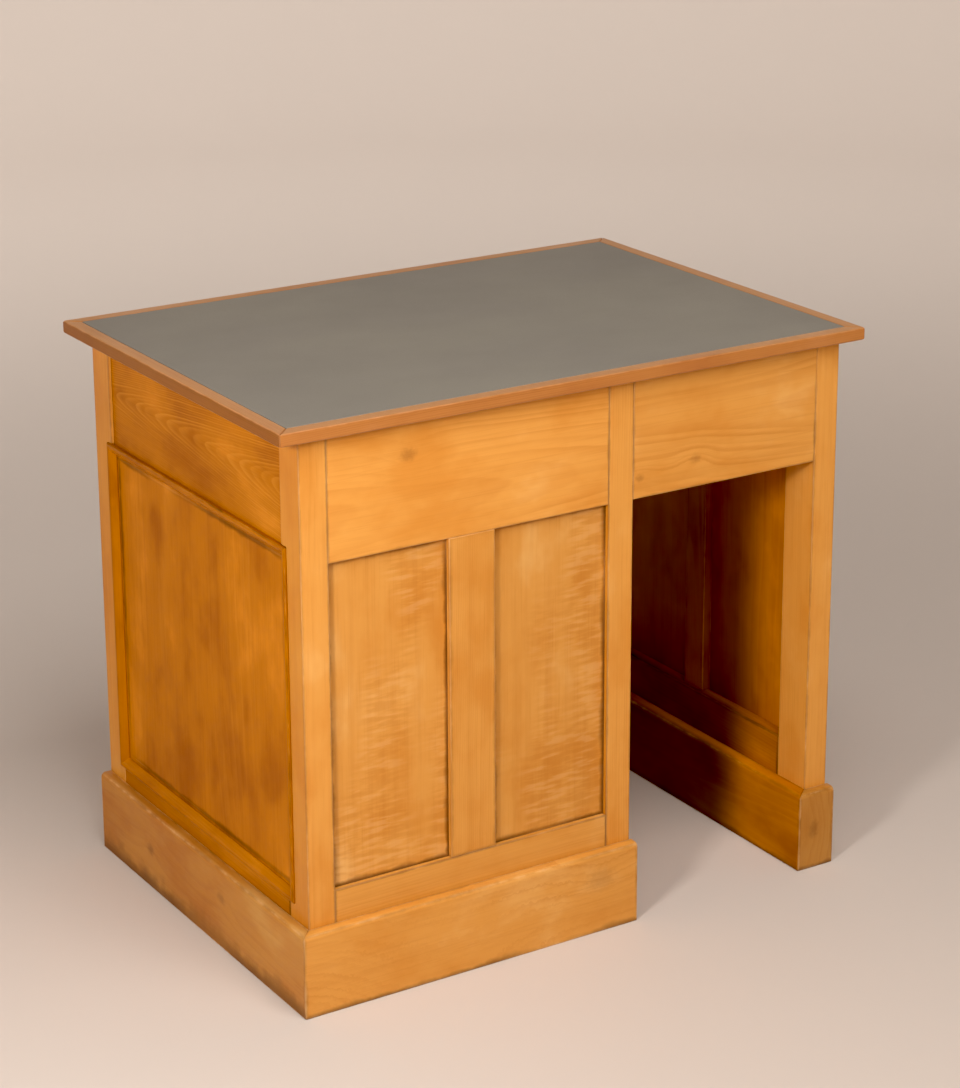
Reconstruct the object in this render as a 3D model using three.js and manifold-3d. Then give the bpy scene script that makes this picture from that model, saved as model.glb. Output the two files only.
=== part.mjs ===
// A teacher's desk: one panelled pedestal with a cupboard and a drawer, an open kneehole with a
// shallow drawer over it, a right-hand end frame, a plinth and a linoleum writing top.
//
// Millimetres, +Z up. The origin is on the floor at the centre of the desk's plan.
// -Y is the class side, which the pupils see; +Y is the teacher's side, with the door and drawers.
// -X is the pedestal end and +X the kneehole end.
import * as THREE from "three";
import { mergeVertices } from "three/addons/utils/BufferGeometryUtils.js";
import Module from "manifold-3d";

const wasm = await Module();
wasm.setup();

// ---------------------------------------------------------------- driving dimensions

const WIDTH = 880; // over the top
const DEPTH = 615;
const HEIGHT = 770;

const TOP_THICKNESS = 17;
const LINOLEUM = 3;
const LIPPING_WIDTH = 20;
const OVERHANG = { left: 33, right: 29, class: 17.5, teacher: 19.5 };

const POST = { left: 38, middle: 38, right: 37 }; // widths seen from the class side
const POST_DEPTH = { left: 48, middle: 38, right: 61 }; // widths seen from the ends
const KNEEHOLE = 295; // clear width
const RAIL_LINE = 590; // underside of the frieze boards
const CLASS_RAIL_TOP = 158;
const INNER_RAIL_TOP = 172; // bottom rail of the right end, seen from the kneehole
const BOARD = 22; // thickness of rails, muntin and friezes
const PANEL = 8; // thickness of the class side's, kneehole's and door's panels
const END_PANEL = 10; // thickness of the end panels
const TONGUE = 8; // how far a panel's edge goes into its groove
const CLASS_RECESS = 8; // panels behind the class face
const END_RECESS = 7; // panels behind the end faces
const FRIEZE_RECESS = 4; // end friezes behind the end faces
const MUNTIN = { from: -198, to: -131 };
const CLEARANCE = 0.3; // round every joint that is cut to fit

const BEAD = { width: 15, lap: 12, proud: 3, bottom: 134, top: 608 }; // moulding round an end panel
const PLINTH = { height: 114, projection: 16, inner: 20, past: 3, round: 7 };

const SHELF_LINE = 592; // underside of the boards that carry the drawers
const SHELF_THICKNESS = 20;
const FLOOR_BOARD = { bottom: 116, thickness: 18 };
const CUPBOARD_SHELF = { bottom: 352, thickness: 16, depth: 430 };
const BATTEN = { from: -42, width: 44, thickness: 14 };

const FRONT_GAP = 2; // round the door and the drawer fronts
const FRONT_SET_BACK = 2; // door and drawer fronts behind the teacher's face
const FRONT_THICKNESS = 20;
const DRAWER = { side: 12, back: 12, bottom: 6, groove: 6, bottomLift: 10, length: 500, sideDrop: 10 };
const DOOR = { stile: 62, railTop: 62, railBottom: 78, panelSetBack: 6 };
const KNOB = { radius: 16, neck: 8, base: 11, height: 20 };
const HINGE = { length: 60, leaf: 1.6, barrel: 3.5, pin: 1.6, fit: 0.15, inset: 80, depth: 24 };

// ---------------------------------------------------------------- lines worked out from them

const FACE = {
  left: -WIDTH / 2 + OVERHANG.left,
  right: WIDTH / 2 - OVERHANG.right,
  class: -DEPTH / 2 + OVERHANG.class,
  teacher: DEPTH / 2 - OVERHANG.teacher,
};
const UNDER_TOP = HEIGHT - TOP_THICKNESS;
const LEFT_POST_IN = FACE.left + POST.left;
const RIGHT_POST_IN = FACE.right - POST.right;
const KNEE_FACE = RIGHT_POST_IN - KNEEHOLE; // the pedestal's kneehole face
const MIDDLE_POST_IN = KNEE_FACE - POST.middle;
const LEFT_OPENING = { y: [FACE.class + POST_DEPTH.left, FACE.teacher - POST_DEPTH.left] };
const RIGHT_OPENING = { y: [FACE.class + POST_DEPTH.right, FACE.teacher - POST_DEPTH.right] };
const MIDDLE_OPENING = { y: [FACE.class + POST_DEPTH.middle, FACE.teacher - POST_DEPTH.middle] };
const OPENING_BOTTOM = BEAD.bottom + BEAD.lap; // end panel openings
const OPENING_TOP = BEAD.top - BEAD.lap;
const CLASS_INNER = FACE.class + BOARD;
const DRAWER_FLOOR = SHELF_LINE + SHELF_THICKNESS;
const FRONT_FACE = FACE.teacher - FRONT_SET_BACK;
const FRONT_BACK = FRONT_FACE - FRONT_THICKNESS;

// ---------------------------------------------------------------- finishes

const finish = (color, roughness = 0.45, metalness = 0) =>
  new THREE.MeshStandardMaterial({ color, roughness, metalness });
const FINISH = {
  pine: finish(0xd99a4e),
  endPine: finish(0xc07a2c),
  lipping: finish(0xb86c3a),
  linoleum: finish(0x837e6e, 0.75),
  drawerWood: finish(0xd8b98a, 0.6),
  brass: finish(0xb08d4a, 0.35, 1),
};

const desk = new THREE.Group();

/** Adds one named piece to the desk or to a group of it. */
function piece(name, geometry, material, parent = desk) {
  const mesh = new THREE.Mesh(geometry, material);
  mesh.name = name;
  parent.add(mesh);
  return mesh;
}

// ---------------------------------------------------------------- shapes

/** A rectangular board from its spans: x, y and z are [low, high]. */
function board({ x, y, z }) {
  const geometry = new THREE.BoxGeometry(x[1] - x[0], y[1] - y[0], z[1] - z[0]);
  return geometry.translate((x[0] + x[1]) / 2, (y[0] + y[1]) / 2, (z[0] + z[1]) / 2);
}

/** The same spans, larger all round by the clearance of a fitted joint. */
function grown({ x, y, z }, by = CLEARANCE) {
  return {
    x: [x[0] - by, x[1] + by],
    y: [y[0] - by, y[1] + by],
    z: [z[0] - by, z[1] + by],
  };
}

/** A geometry as a solid that can be joined and cut. */
function solidOf(geometry) {
  const bare = geometry.clone();
  bare.deleteAttribute("normal");
  bare.deleteAttribute("uv");
  const merged = mergeVertices(bare, 1e-4);
  return new wasm.Manifold(
    new wasm.Mesh({
      numProp: 3,
      vertProperties: new Float32Array(merged.attributes.position.array),
      triVerts: new Uint32Array(merged.index.array),
    }),
  );
}

/** A solid back as a geometry. */
function geometryOf(solid) {
  const { vertProperties, triVerts } = solid.getMesh();
  const geometry = new THREE.BufferGeometry();
  geometry.setAttribute("position", new THREE.BufferAttribute(vertProperties, 3));
  geometry.setIndex(new THREE.BufferAttribute(triVerts, 1));
  geometry.computeVertexNormals();
  return geometry;
}

/** A geometry with others taken out of it. */
function cut(geometry, cutters) {
  const left = cutters.reduce((solid, cutter) => solid.subtract(solidOf(cutter)), solidOf(geometry));
  return geometryOf(left);
}

/** Several geometries joined into one. */
function joined(geometries) {
  return geometryOf(geometries.map(solidOf).reduce((sum, solid) => sum.add(solid)));
}

/** A board with clearance cut round the other boards that enter it or that it passes. */
const fitted = (spans, others) =>
  cut(
    board(spans),
    others.map((other) => board(grown(other))),
  );

/** A length of a section, drawn as (out, up), whose ends are mitred by their slopes.
 *  It starts at `start` and runs towards `out` x `up`; a slope of 1 is a 45 degree mitre. */
function mitred(section, start, out, length, { from = 0, to = 0 } = {}) {
  const geometry = new THREE.ExtrudeGeometry(section, {
    depth: length,
    bevelEnabled: false,
    curveSegments: 5,
  });
  const place = geometry.attributes.position;
  for (let i = 0; i < place.count; i++) {
    const depth = place.getX(i);
    const along = place.getZ(i);
    place.setZ(i, along > length / 2 ? length + to * depth : -from * depth);
  }
  const up = new THREE.Vector3(0, 0, 1);
  const basis = new THREE.Matrix4().makeBasis(out, up, new THREE.Vector3().crossVectors(out, up));
  return geometry.applyMatrix4(basis.setPosition(start));
}

/** A closed shape through points. */
const outline = (points) => new THREE.Shape(points.map(([a, b]) => new THREE.Vector2(a, b)));

/** A rectangular ring of moulding with mitred corners: `section` holds [inward, proud] points,
 *  and the ring's outer edge measures 2 halfWidth by 2 halfHeight. It lies in XZ, proud along +Y. */
function mitredRing(section, halfWidth, halfHeight) {
  const reach = Math.max(...section.map(([inward]) => inward)) * 2; // a small square ring, then stretched
  const corner = section.map(
    ([inward, proud]) => new THREE.Vector2((reach - inward) * Math.SQRT2, proud),
  );
  const geometry = new THREE.LatheGeometry([...corner, corner[0]], 4, Math.PI / 4);
  const place = geometry.attributes.position;
  for (let i = 0; i < place.count; i++) {
    place.setX(i, place.getX(i) + Math.sign(place.getX(i)) * (halfWidth - reach));
    place.setZ(i, place.getZ(i) + Math.sign(place.getZ(i)) * (halfHeight - reach));
  }
  return geometry;
}

const LEFT = new THREE.Vector3(-1, 0, 0);
const RIGHT = new THREE.Vector3(1, 0, 0);
const CLASS = new THREE.Vector3(0, -1, 0);
const TEACHER = new THREE.Vector3(0, 1, 0);

// ---------------------------------------------------------------- top

function buildTop() {
  const inner = { x: WIDTH / 2 - LIPPING_WIDTH, y: DEPTH / 2 - LIPPING_WIDTH };
  const area = { x: [-inner.x, inner.x], y: [-inner.y, inner.y] };
  piece("top_core", board({ ...area, z: [UNDER_TOP, HEIGHT - LINOLEUM] }), FINISH.pine);
  piece("linoleum", board({ ...area, z: [HEIGHT - LINOLEUM, HEIGHT] }), FINISH.linoleum);
  const section = outline([
    [0, 0],
    [LIPPING_WIDTH, 0],
    [LIPPING_WIDTH, TOP_THICKNESS],
    [0, TOP_THICKNESS],
  ]);
  const mitres = { from: 1, to: 1 };
  const edges = [
    ["lipping_class", CLASS, inner.x, -inner.y, 2 * inner.x],
    ["lipping_left", LEFT, -inner.x, -inner.y, 2 * inner.y],
    ["lipping_teacher", TEACHER, -inner.x, inner.y, 2 * inner.x],
    ["lipping_right", RIGHT, inner.x, inner.y, 2 * inner.y],
  ];
  for (const [name, out, x, y, length] of edges) {
    const start = new THREE.Vector3(x, y, UNDER_TOP);
    piece(name, mitred(section, start, out, length, mitres), FINISH.lipping);
  }
}

// ---------------------------------------------------------------- boards whose spans others need

const CLASS_PANEL_Y = [FACE.class + CLASS_RECESS, FACE.class + CLASS_RECESS + PANEL];
const CLASS_PANEL_Z = [CLASS_RAIL_TOP - TONGUE, RAIL_LINE + TONGUE];
const CLASS_PANELS = {
  left: { x: [LEFT_POST_IN - TONGUE, MUNTIN.from + TONGUE], y: CLASS_PANEL_Y, z: CLASS_PANEL_Z },
  right: { x: [MUNTIN.to - TONGUE, MIDDLE_POST_IN + TONGUE], y: CLASS_PANEL_Y, z: CLASS_PANEL_Z },
};
const END_PANEL_Z = [OPENING_BOTTOM - TONGUE, OPENING_TOP + TONGUE];
const LEFT_PANEL = {
  x: [FACE.left + END_RECESS, FACE.left + END_RECESS + END_PANEL],
  y: [LEFT_OPENING.y[0] - TONGUE, LEFT_OPENING.y[1] + TONGUE],
  z: END_PANEL_Z,
};
const RIGHT_PANEL = {
  x: [FACE.right - END_RECESS - END_PANEL, FACE.right - END_RECESS],
  y: [RIGHT_OPENING.y[0] - TONGUE, RIGHT_OPENING.y[1] + TONGUE],
  z: END_PANEL_Z,
};
const KNEE_PANEL = {
  x: [KNEE_FACE - CLASS_RECESS - PANEL, KNEE_FACE - CLASS_RECESS],
  y: [MIDDLE_OPENING.y[0] - TONGUE, MIDDLE_OPENING.y[1] + TONGUE],
  z: [CLASS_RAIL_TOP - TONGUE, UNDER_TOP],
};

/** The space that an end's moulding takes out of the posts and the rail under it. */
function beadSpace(face, opening, inwards) {
  const x = [face, face + inwards * FRIEZE_RECESS].sort((a, b) => a - b);
  return {
    x: [x[0] - CLEARANCE, x[1]],
    y: [opening.y[0] - BEAD.lap, opening.y[1] + BEAD.lap],
    z: [BEAD.bottom, BEAD.top],
  };
}
const LEFT_BEAD_SPACE = beadSpace(FACE.left, LEFT_OPENING, 1);
const RIGHT_BEAD_SPACE = beadSpace(FACE.right, RIGHT_OPENING, -1);

const POSTS = {
  class_left: {
    x: [FACE.left, LEFT_POST_IN],
    y: [FACE.class, LEFT_OPENING.y[0]],
    takes: [CLASS_PANELS.left, LEFT_PANEL, LEFT_BEAD_SPACE],
  },
  class_middle: {
    x: [MIDDLE_POST_IN, KNEE_FACE],
    y: [FACE.class, MIDDLE_OPENING.y[0]],
    takes: [CLASS_PANELS.right, KNEE_PANEL],
  },
  class_right: {
    x: [RIGHT_POST_IN, FACE.right],
    y: [FACE.class, RIGHT_OPENING.y[0]],
    takes: [RIGHT_PANEL, RIGHT_BEAD_SPACE],
  },
  teacher_left: {
    x: [FACE.left, LEFT_POST_IN],
    y: [LEFT_OPENING.y[1], FACE.teacher],
    takes: [LEFT_PANEL, LEFT_BEAD_SPACE],
  },
  teacher_middle: {
    x: [MIDDLE_POST_IN, KNEE_FACE],
    y: [MIDDLE_OPENING.y[1], FACE.teacher],
    takes: [KNEE_PANEL],
  },
  teacher_right: {
    x: [RIGHT_POST_IN, FACE.right],
    y: [RIGHT_OPENING.y[1], FACE.teacher],
    takes: [RIGHT_PANEL, RIGHT_BEAD_SPACE],
  },
};
const POST_SPANS = Object.values(POSTS).map(({ x, y }) => ({ x, y, z: [0, UNDER_TOP] }));

// ---------------------------------------------------------------- door hinges

const PIVOT = { x: LEFT_POST_IN + FRONT_GAP / 2, y: FACE.teacher + HINGE.barrel };
const DOOR_SPAN = {
  x: [LEFT_POST_IN + FRONT_GAP, MIDDLE_POST_IN - FRONT_GAP],
  z: [PLINTH.height + FRONT_GAP, SHELF_LINE - FRONT_GAP],
};
const HINGE_BOTTOMS = {
  lower: DOOR_SPAN.z[0] + HINGE.inset,
  upper: DOOR_SPAN.z[1] - HINGE.inset - HINGE.length,
};
const LEAF_GAP = 0.6; // from the pin's axis to the inner face of each leaf

/** The plate of a hinge: side -1 lies in the post, 1 in the door's edge. */
function leafPlate(bottom, side) {
  const x = [PIVOT.x + side * LEAF_GAP, PIVOT.x + side * (LEAF_GAP + HINGE.leaf)];
  return {
    x: x.sort((a, b) => a - b),
    y: [PIVOT.y - HINGE.depth, PIVOT.y],
    z: [bottom, bottom + HINGE.length],
  };
}

/** An upright round bar on the hinge's axis. */
function barrel(radius, z) {
  const geometry = new THREE.CylinderGeometry(radius, radius, z[1] - z[0], 20);
  return geometry.rotateX(Math.PI / 2).translate(PIVOT.x, PIVOT.y, (z[0] + z[1]) / 2);
}

/** The block of space that a knuckle of the other leaf turns in. */
function knuckleSpace(z) {
  const reach = HINGE.barrel + CLEARANCE;
  return board({
    x: [PIVOT.x - reach, PIVOT.x + reach],
    y: [PIVOT.y - reach, PIVOT.y + reach],
    z: [z[0] - CLEARANCE, z[1] + CLEARANCE],
  });
}

function buildHinges(postSide, doorSide) {
  for (const [name, bottom] of Object.entries(HINGE_BOTTOMS)) {
    const third = HINGE.length / 3;
    const low = [bottom, bottom + third];
    const middle = [low[1], low[1] + third];
    const high = [middle[1], bottom + HINGE.length];
    const postLeaf = joined([
      cut(board(leafPlate(bottom, -1)), [knuckleSpace(middle)]),
      barrel(HINGE.barrel, low),
      barrel(HINGE.barrel, high),
      barrel(HINGE.pin, [low[0], high[1]]),
    ]);
    const knuckle = [middle[0] + CLEARANCE, middle[1] - CLEARANCE];
    const doorPlate = cut(board(leafPlate(bottom, 1)), [knuckleSpace(low), knuckleSpace(high)]);
    const doorLeaf = cut(joined([doorPlate, barrel(HINGE.barrel, knuckle)]), [
      barrel(HINGE.pin + HINGE.fit, [bottom, bottom + HINGE.length]),
    ]);
    piece(`hinge_${name}_post_leaf`, postLeaf, FINISH.brass, postSide);
    piece(`hinge_${name}_door_leaf`, doorLeaf, FINISH.brass, doorSide);
  }
}

// ---------------------------------------------------------------- frame

function buildPosts() {
  const leaves = Object.values(HINGE_BOTTOMS).map((bottom) => leafPlate(bottom, -1));
  for (const [name, { x, y, takes }] of Object.entries(POSTS)) {
    const cuts = name === "teacher_left" ? [...takes, ...leaves] : takes;
    piece(`post_${name}`, fitted({ x, y, z: [0, UNDER_TOP] }, cuts), FINISH.pine);
  }
}

function buildClassSide() {
  const { left, right } = CLASS_PANELS;
  const y = [FACE.class, CLASS_INNER];
  const bay = [LEFT_POST_IN, MIDDLE_POST_IN];
  const frieze = [RAIL_LINE, UNDER_TOP];
  piece("frieze_pedestal", fitted({ x: bay, y, z: frieze }, [left, right]), FINISH.pine);
  piece("frieze_knee", board({ x: [KNEE_FACE, RIGHT_POST_IN], y, z: frieze }), FINISH.pine);
  piece("class_bottom_rail", fitted({ x: bay, y, z: [0, CLASS_RAIL_TOP] }, [left, right]), FINISH.pine);
  const muntin = { x: [MUNTIN.from, MUNTIN.to], y, z: [CLASS_RAIL_TOP, RAIL_LINE] };
  piece("class_muntin", fitted(muntin, [left, right]), FINISH.pine);
  piece("class_panel_left", board(left), FINISH.pine);
  piece("class_panel_right", board(right), FINISH.pine);
}

const BEAD_STEPS = 12; // flats along the moulding's curve

/** The moulding round an end panel: a rounded crest that falls away to the panel. */
function endBead(opening) {
  const crest = FRIEZE_RECESS + BEAD.proud;
  const floor = FRIEZE_RECESS - END_RECESS + CLEARANCE; // the panel's face, from the moulding's back
  const face = new THREE.SplineCurve([
    new THREE.Vector2(CLEARANCE, crest - 1.8),
    new THREE.Vector2(BEAD.width * 0.28, crest),
    new THREE.Vector2(BEAD.width * 0.62, crest - 2.2),
    new THREE.Vector2(BEAD.width, floor + 1.2),
  ]);
  const section = [
    [CLEARANCE, CLEARANCE],
    ...face.getPoints(BEAD_STEPS).map((point) => point.toArray()),
    [BEAD.width, floor],
    [BEAD.lap + CLEARANCE, floor],
    [BEAD.lap + CLEARANCE, CLEARANCE],
  ];
  const halfWidth = (opening.y[1] - opening.y[0]) / 2 + BEAD.lap;
  return mitredRing(section, halfWidth, (BEAD.top - BEAD.bottom) / 2);
}

/** Stands an end's moulding up in its place, proud of the frieze's face. */
function placeBead(geometry, opening, x, turn) {
  const middle = (opening.y[0] + opening.y[1]) / 2;
  return geometry.rotateZ(turn).translate(x, middle, (BEAD.bottom + BEAD.top) / 2);
}

function buildLeftEnd() {
  const { y } = LEFT_OPENING;
  const friezeFace = FACE.left + FRIEZE_RECESS;
  const frieze = { x: [friezeFace, friezeFace + BOARD], y, z: [OPENING_TOP, UNDER_TOP] };
  const rail = { x: [FACE.left, FACE.left + BOARD], y, z: [0, OPENING_BOTTOM] };
  piece("left_frieze", fitted(frieze, [LEFT_PANEL]), FINISH.endPine);
  piece("left_bottom_rail", fitted(rail, [LEFT_PANEL, LEFT_BEAD_SPACE]), FINISH.endPine);
  piece("left_panel", board(LEFT_PANEL), FINISH.endPine);
  const bead = placeBead(endBead(LEFT_OPENING), LEFT_OPENING, friezeFace, Math.PI / 2);
  piece("left_bead", bead, FINISH.endPine);
}

function buildKneeWall() {
  piece("knee_wall_panel", board(KNEE_PANEL), FINISH.pine);
  const rail = { x: [KNEE_FACE - BOARD, KNEE_FACE], y: MIDDLE_OPENING.y, z: [0, CLASS_RAIL_TOP] };
  piece("knee_wall_bottom_rail", fitted(rail, [KNEE_PANEL]), FINISH.pine);
}

function buildRightEnd() {
  const { y } = RIGHT_OPENING;
  const friezeFace = FACE.right - FRIEZE_RECESS;
  const frieze = { x: [friezeFace - BOARD, friezeFace], y, z: [OPENING_TOP, UNDER_TOP] };
  piece("right_frieze", fitted(frieze, [RIGHT_PANEL]), FINISH.endPine);
  // The bottom rail is as thick as the posts and stands higher on the kneehole side of the panel.
  const rail = joined([
    board({ x: [RIGHT_POST_IN, RIGHT_PANEL.x[0]], y, z: [0, INNER_RAIL_TOP] }),
    board({ x: [RIGHT_POST_IN, FACE.right], y, z: [0, OPENING_BOTTOM] }),
  ]);
  const seats = [RIGHT_PANEL, RIGHT_BEAD_SPACE].map((seat) => board(grown(seat)));
  piece("right_bottom_rail", cut(rail, seats), FINISH.endPine);
  piece("right_panel", board(RIGHT_PANEL), FINISH.endPine);
  const batten = {
    x: [RIGHT_PANEL.x[0] - BATTEN.thickness, RIGHT_PANEL.x[0]],
    y: [BATTEN.from, BATTEN.from + BATTEN.width],
    z: [INNER_RAIL_TOP, SHELF_LINE],
  };
  piece("right_batten", board(batten), FINISH.endPine);
  const bead = placeBead(endBead(RIGHT_OPENING), RIGHT_OPENING, friezeFace, -Math.PI / 2);
  piece("right_bead", bead, FINISH.endPine);
}

// ---------------------------------------------------------------- plinth

/** A plinth board's section, square but for the rounded upper arris. */
function plinthSection(thickness) {
  const { height, round } = PLINTH;
  const section = new THREE.Shape();
  section.moveTo(0, 0);
  section.lineTo(thickness, 0);
  section.lineTo(thickness, height - round);
  section.absarc(thickness - round, height - round, round, 0, Math.PI / 2);
  section.lineTo(0, height);
  return section;
}

function buildPlinth() {
  const { projection, inner, past } = PLINTH;
  const at = (x, y) => new THREE.Vector3(x, y, 0);
  const depth = FACE.teacher - FACE.class;
  const outer = plinthSection(projection);
  const classLength = KNEE_FACE + past - FACE.left;
  const classStart = at(KNEE_FACE + past, FACE.class);
  piece("plinth_class", mitred(outer, classStart, CLASS, classLength, { to: 1 }), FINISH.pine);
  const leftStart = at(FACE.left, FACE.class);
  piece("plinth_left", mitred(outer, leftStart, LEFT, depth, { from: 1 }), FINISH.endPine);
  const capLength = FACE.right + past - RIGHT_POST_IN;
  const cap = mitred(outer, at(FACE.right + past, FACE.class), CLASS, capLength, {
    to: inner / projection,
  });
  piece("plinth_right_cap", cap, FINISH.pine);
  const innerStart = at(RIGHT_POST_IN, FACE.class);
  const innerBoard = mitred(plinthSection(inner), innerStart, LEFT, depth, {
    from: projection / inner,
  });
  piece("plinth_right_inner", innerBoard, FINISH.endPine);
  const kick = {
    x: [LEFT_POST_IN, MIDDLE_POST_IN],
    y: [FRONT_BACK, FRONT_FACE],
    z: [0, PLINTH.height],
  };
  piece("kick_board", board(kick), FINISH.pine);
}

// ---------------------------------------------------------------- boards inside

function buildInside() {
  const left = FACE.left + BOARD; // inner face of the left bottom rail
  const right = KNEE_PANEL.x[0];
  const floorTop = FLOOR_BOARD.bottom + FLOOR_BOARD.thickness;
  const rail = { x: [KNEE_FACE - BOARD, KNEE_FACE], y: MIDDLE_OPENING.y, z: [0, CLASS_RAIL_TOP] };
  const leftRail = { x: [FACE.left, left], y: LEFT_OPENING.y, z: [0, OPENING_BOTTOM] };
  const frontOfDoor = FRONT_BACK - FRONT_GAP;
  const floor = {
    x: [left, right],
    y: [CLASS_INNER, frontOfDoor],
    z: [FLOOR_BOARD.bottom, floorTop],
  };
  piece("cupboard_floor", fitted(floor, [...POST_SPANS, rail, leftRail]), FINISH.drawerWood);
  const shelf = {
    x: [LEFT_PANEL.x[1], right],
    y: [CLASS_INNER, CLASS_INNER + CUPBOARD_SHELF.depth],
    z: [CUPBOARD_SHELF.bottom, CUPBOARD_SHELF.bottom + CUPBOARD_SHELF.thickness],
  };
  piece("cupboard_shelf", fitted(shelf, [...POST_SPANS, LEFT_PANEL, KNEE_PANEL]), FINISH.drawerWood);
  const dust = {
    x: [LEFT_PANEL.x[1], right],
    y: [CLASS_INNER, FACE.teacher],
    z: [SHELF_LINE, DRAWER_FLOOR],
  };
  const friezeBack = FACE.left + FRIEZE_RECESS + BOARD;
  const frieze = { x: [FACE.left, friezeBack], y: LEFT_OPENING.y, z: [OPENING_TOP, UNDER_TOP] };
  const pedestalPosts = [...POST_SPANS, LEFT_PANEL, KNEE_PANEL, frieze];
  piece("dust_board", fitted(dust, pedestalPosts), FINISH.drawerWood);
  const knee = {
    x: [KNEE_PANEL.x[1], RIGHT_PANEL.x[0]],
    y: [CLASS_INNER, FACE.teacher],
    z: [SHELF_LINE, DRAWER_FLOOR],
  };
  const rightFrieze = { x: [FACE.right - FRIEZE_RECESS - BOARD, FACE.right], y: RIGHT_OPENING.y };
  const kneeOthers = [
    ...POST_SPANS,
    KNEE_PANEL,
    RIGHT_PANEL,
    { ...rightFrieze, z: [OPENING_TOP, UNDER_TOP] },
  ];
  piece("knee_board", fitted(knee, kneeOthers), FINISH.drawerWood);
}

// ---------------------------------------------------------------- knobs, drawers and door

/** A turned knob that stands out along +Y from the point given. */
function knob(x, z) {
  const { radius, neck, base, height } = KNOB;
  const profile = [
    [0, 0],
    [base, 0],
    [base, 1.5],
    [neck, 4],
    [neck, 8],
    [neck + 3, 10.5],
    [radius - 1, 12.5],
    [radius, 14.5],
    [radius - 0.8, 17],
    [radius - 4, 19],
    [radius - 9, height - 0.2],
    [0, height],
  ].map(([r, h]) => new THREE.Vector2(r, h));
  return new THREE.LatheGeometry(profile, 28).translate(x, FRONT_FACE + 0.1, z);
}

/** One drawer as a group: front, sides, back and bottom, with a knob. */
function buildDrawer(name, openingX) {
  const drawer = new THREE.Group();
  const front = [openingX[0] + FRONT_GAP, openingX[1] - FRONT_GAP];
  const z = [DRAWER_FLOOR + FRONT_GAP, UNDER_TOP - FRONT_GAP];
  const outside = [front[0] + 1, front[1] - 1];
  const inside = [outside[0] + DRAWER.side, outside[1] - DRAWER.side];
  const sideZ = [z[0], z[1] - DRAWER.sideDrop];
  const end = FRONT_FACE - DRAWER.length;
  const bottomZ = [z[0] + DRAWER.bottomLift, z[0] + DRAWER.bottomLift + DRAWER.bottom];
  const bottom = {
    x: [inside[0] - DRAWER.groove, inside[1] + DRAWER.groove],
    y: [end, FRONT_BACK + DRAWER.groove],
    z: bottomZ,
  };
  const add = (part, geometry, material) => piece(`${name}_${part}`, geometry, material, drawer);
  add("front", fitted({ x: front, y: [FRONT_BACK, FRONT_FACE], z }, [bottom]), FINISH.pine);
  const sideY = [end, FRONT_BACK];
  const leftSide = { x: [outside[0], inside[0]], y: sideY, z: sideZ };
  const rightSide = { x: [inside[1], outside[1]], y: sideY, z: sideZ };
  add("side_left", fitted(leftSide, [bottom]), FINISH.drawerWood);
  add("side_right", fitted(rightSide, [bottom]), FINISH.drawerWood);
  const back = { x: inside, y: [end, end + DRAWER.back], z: [bottomZ[1] + CLEARANCE, sideZ[1]] };
  add("back", board(back), FINISH.drawerWood);
  add("bottom", board(bottom), FINISH.drawerWood);
  add("knob", knob((front[0] + front[1]) / 2, (z[0] + z[1]) / 2), FINISH.lipping);
  return drawer;
}

/** The cupboard door as a group: framed panel and knob. */
function buildDoor() {
  const door = new THREE.Group();
  const { x, z } = DOOR_SPAN;
  const y = [FRONT_BACK, FRONT_FACE];
  const innerX = [x[0] + DOOR.stile, x[1] - DOOR.stile];
  const innerZ = [z[0] + DOOR.railBottom, z[1] - DOOR.railTop];
  const panelFace = FRONT_FACE - DOOR.panelSetBack;
  const panel = {
    x: [innerX[0] - TONGUE, innerX[1] + TONGUE],
    y: [panelFace - PANEL, panelFace],
    z: [innerZ[0] - TONGUE, innerZ[1] + TONGUE],
  };
  const leaves = Object.values(HINGE_BOTTOMS).map((bottom) => leafPlate(bottom, 1));
  const add = (part, geometry, material) => piece(`door_${part}`, geometry, material, door);
  add("stile_hinge", fitted({ x: [x[0], innerX[0]], y, z }, [panel, ...leaves]), FINISH.pine);
  add("stile_knob", fitted({ x: [innerX[1], x[1]], y, z }, [panel]), FINISH.pine);
  add("rail_top", fitted({ x: innerX, y, z: [innerZ[1], z[1]] }, [panel]), FINISH.pine);
  add("rail_bottom", fitted({ x: innerX, y, z: [z[0], innerZ[0]] }, [panel]), FINISH.pine);
  add("panel", board(panel), FINISH.pine);
  add("knob", knob(x[1] - DOOR.stile / 2, (z[0] + z[1]) / 2), FINISH.lipping);
  return door;
}

// ---------------------------------------------------------------- the desk

buildTop();
buildPosts();
buildClassSide();
buildLeftEnd();
buildKneeWall();
buildRightEnd();
buildPlinth();
buildInside();
const door = buildDoor();
buildHinges(desk, door);
desk.add(
  door,
  buildDrawer("pedestal_drawer", [LEFT_POST_IN, MIDDLE_POST_IN]),
  buildDrawer("knee_drawer", [KNEE_FACE, RIGHT_POST_IN]),
);

export default desk;
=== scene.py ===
"""A teacher's desk: finishes, fittings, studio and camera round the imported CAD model.

The frame gives every board, drawer and door in its place. This script eases their arrises,
gives each board its own cut of wood, lays the linoleum's surface, turns the knobs, adds the
small fixings, and sets up a plain studio.
"""

from __future__ import annotations

import logging
import math
from dataclasses import dataclass, field
from enum import Enum

import bmesh
import bpy
from mathutils import Matrix, Vector


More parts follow.
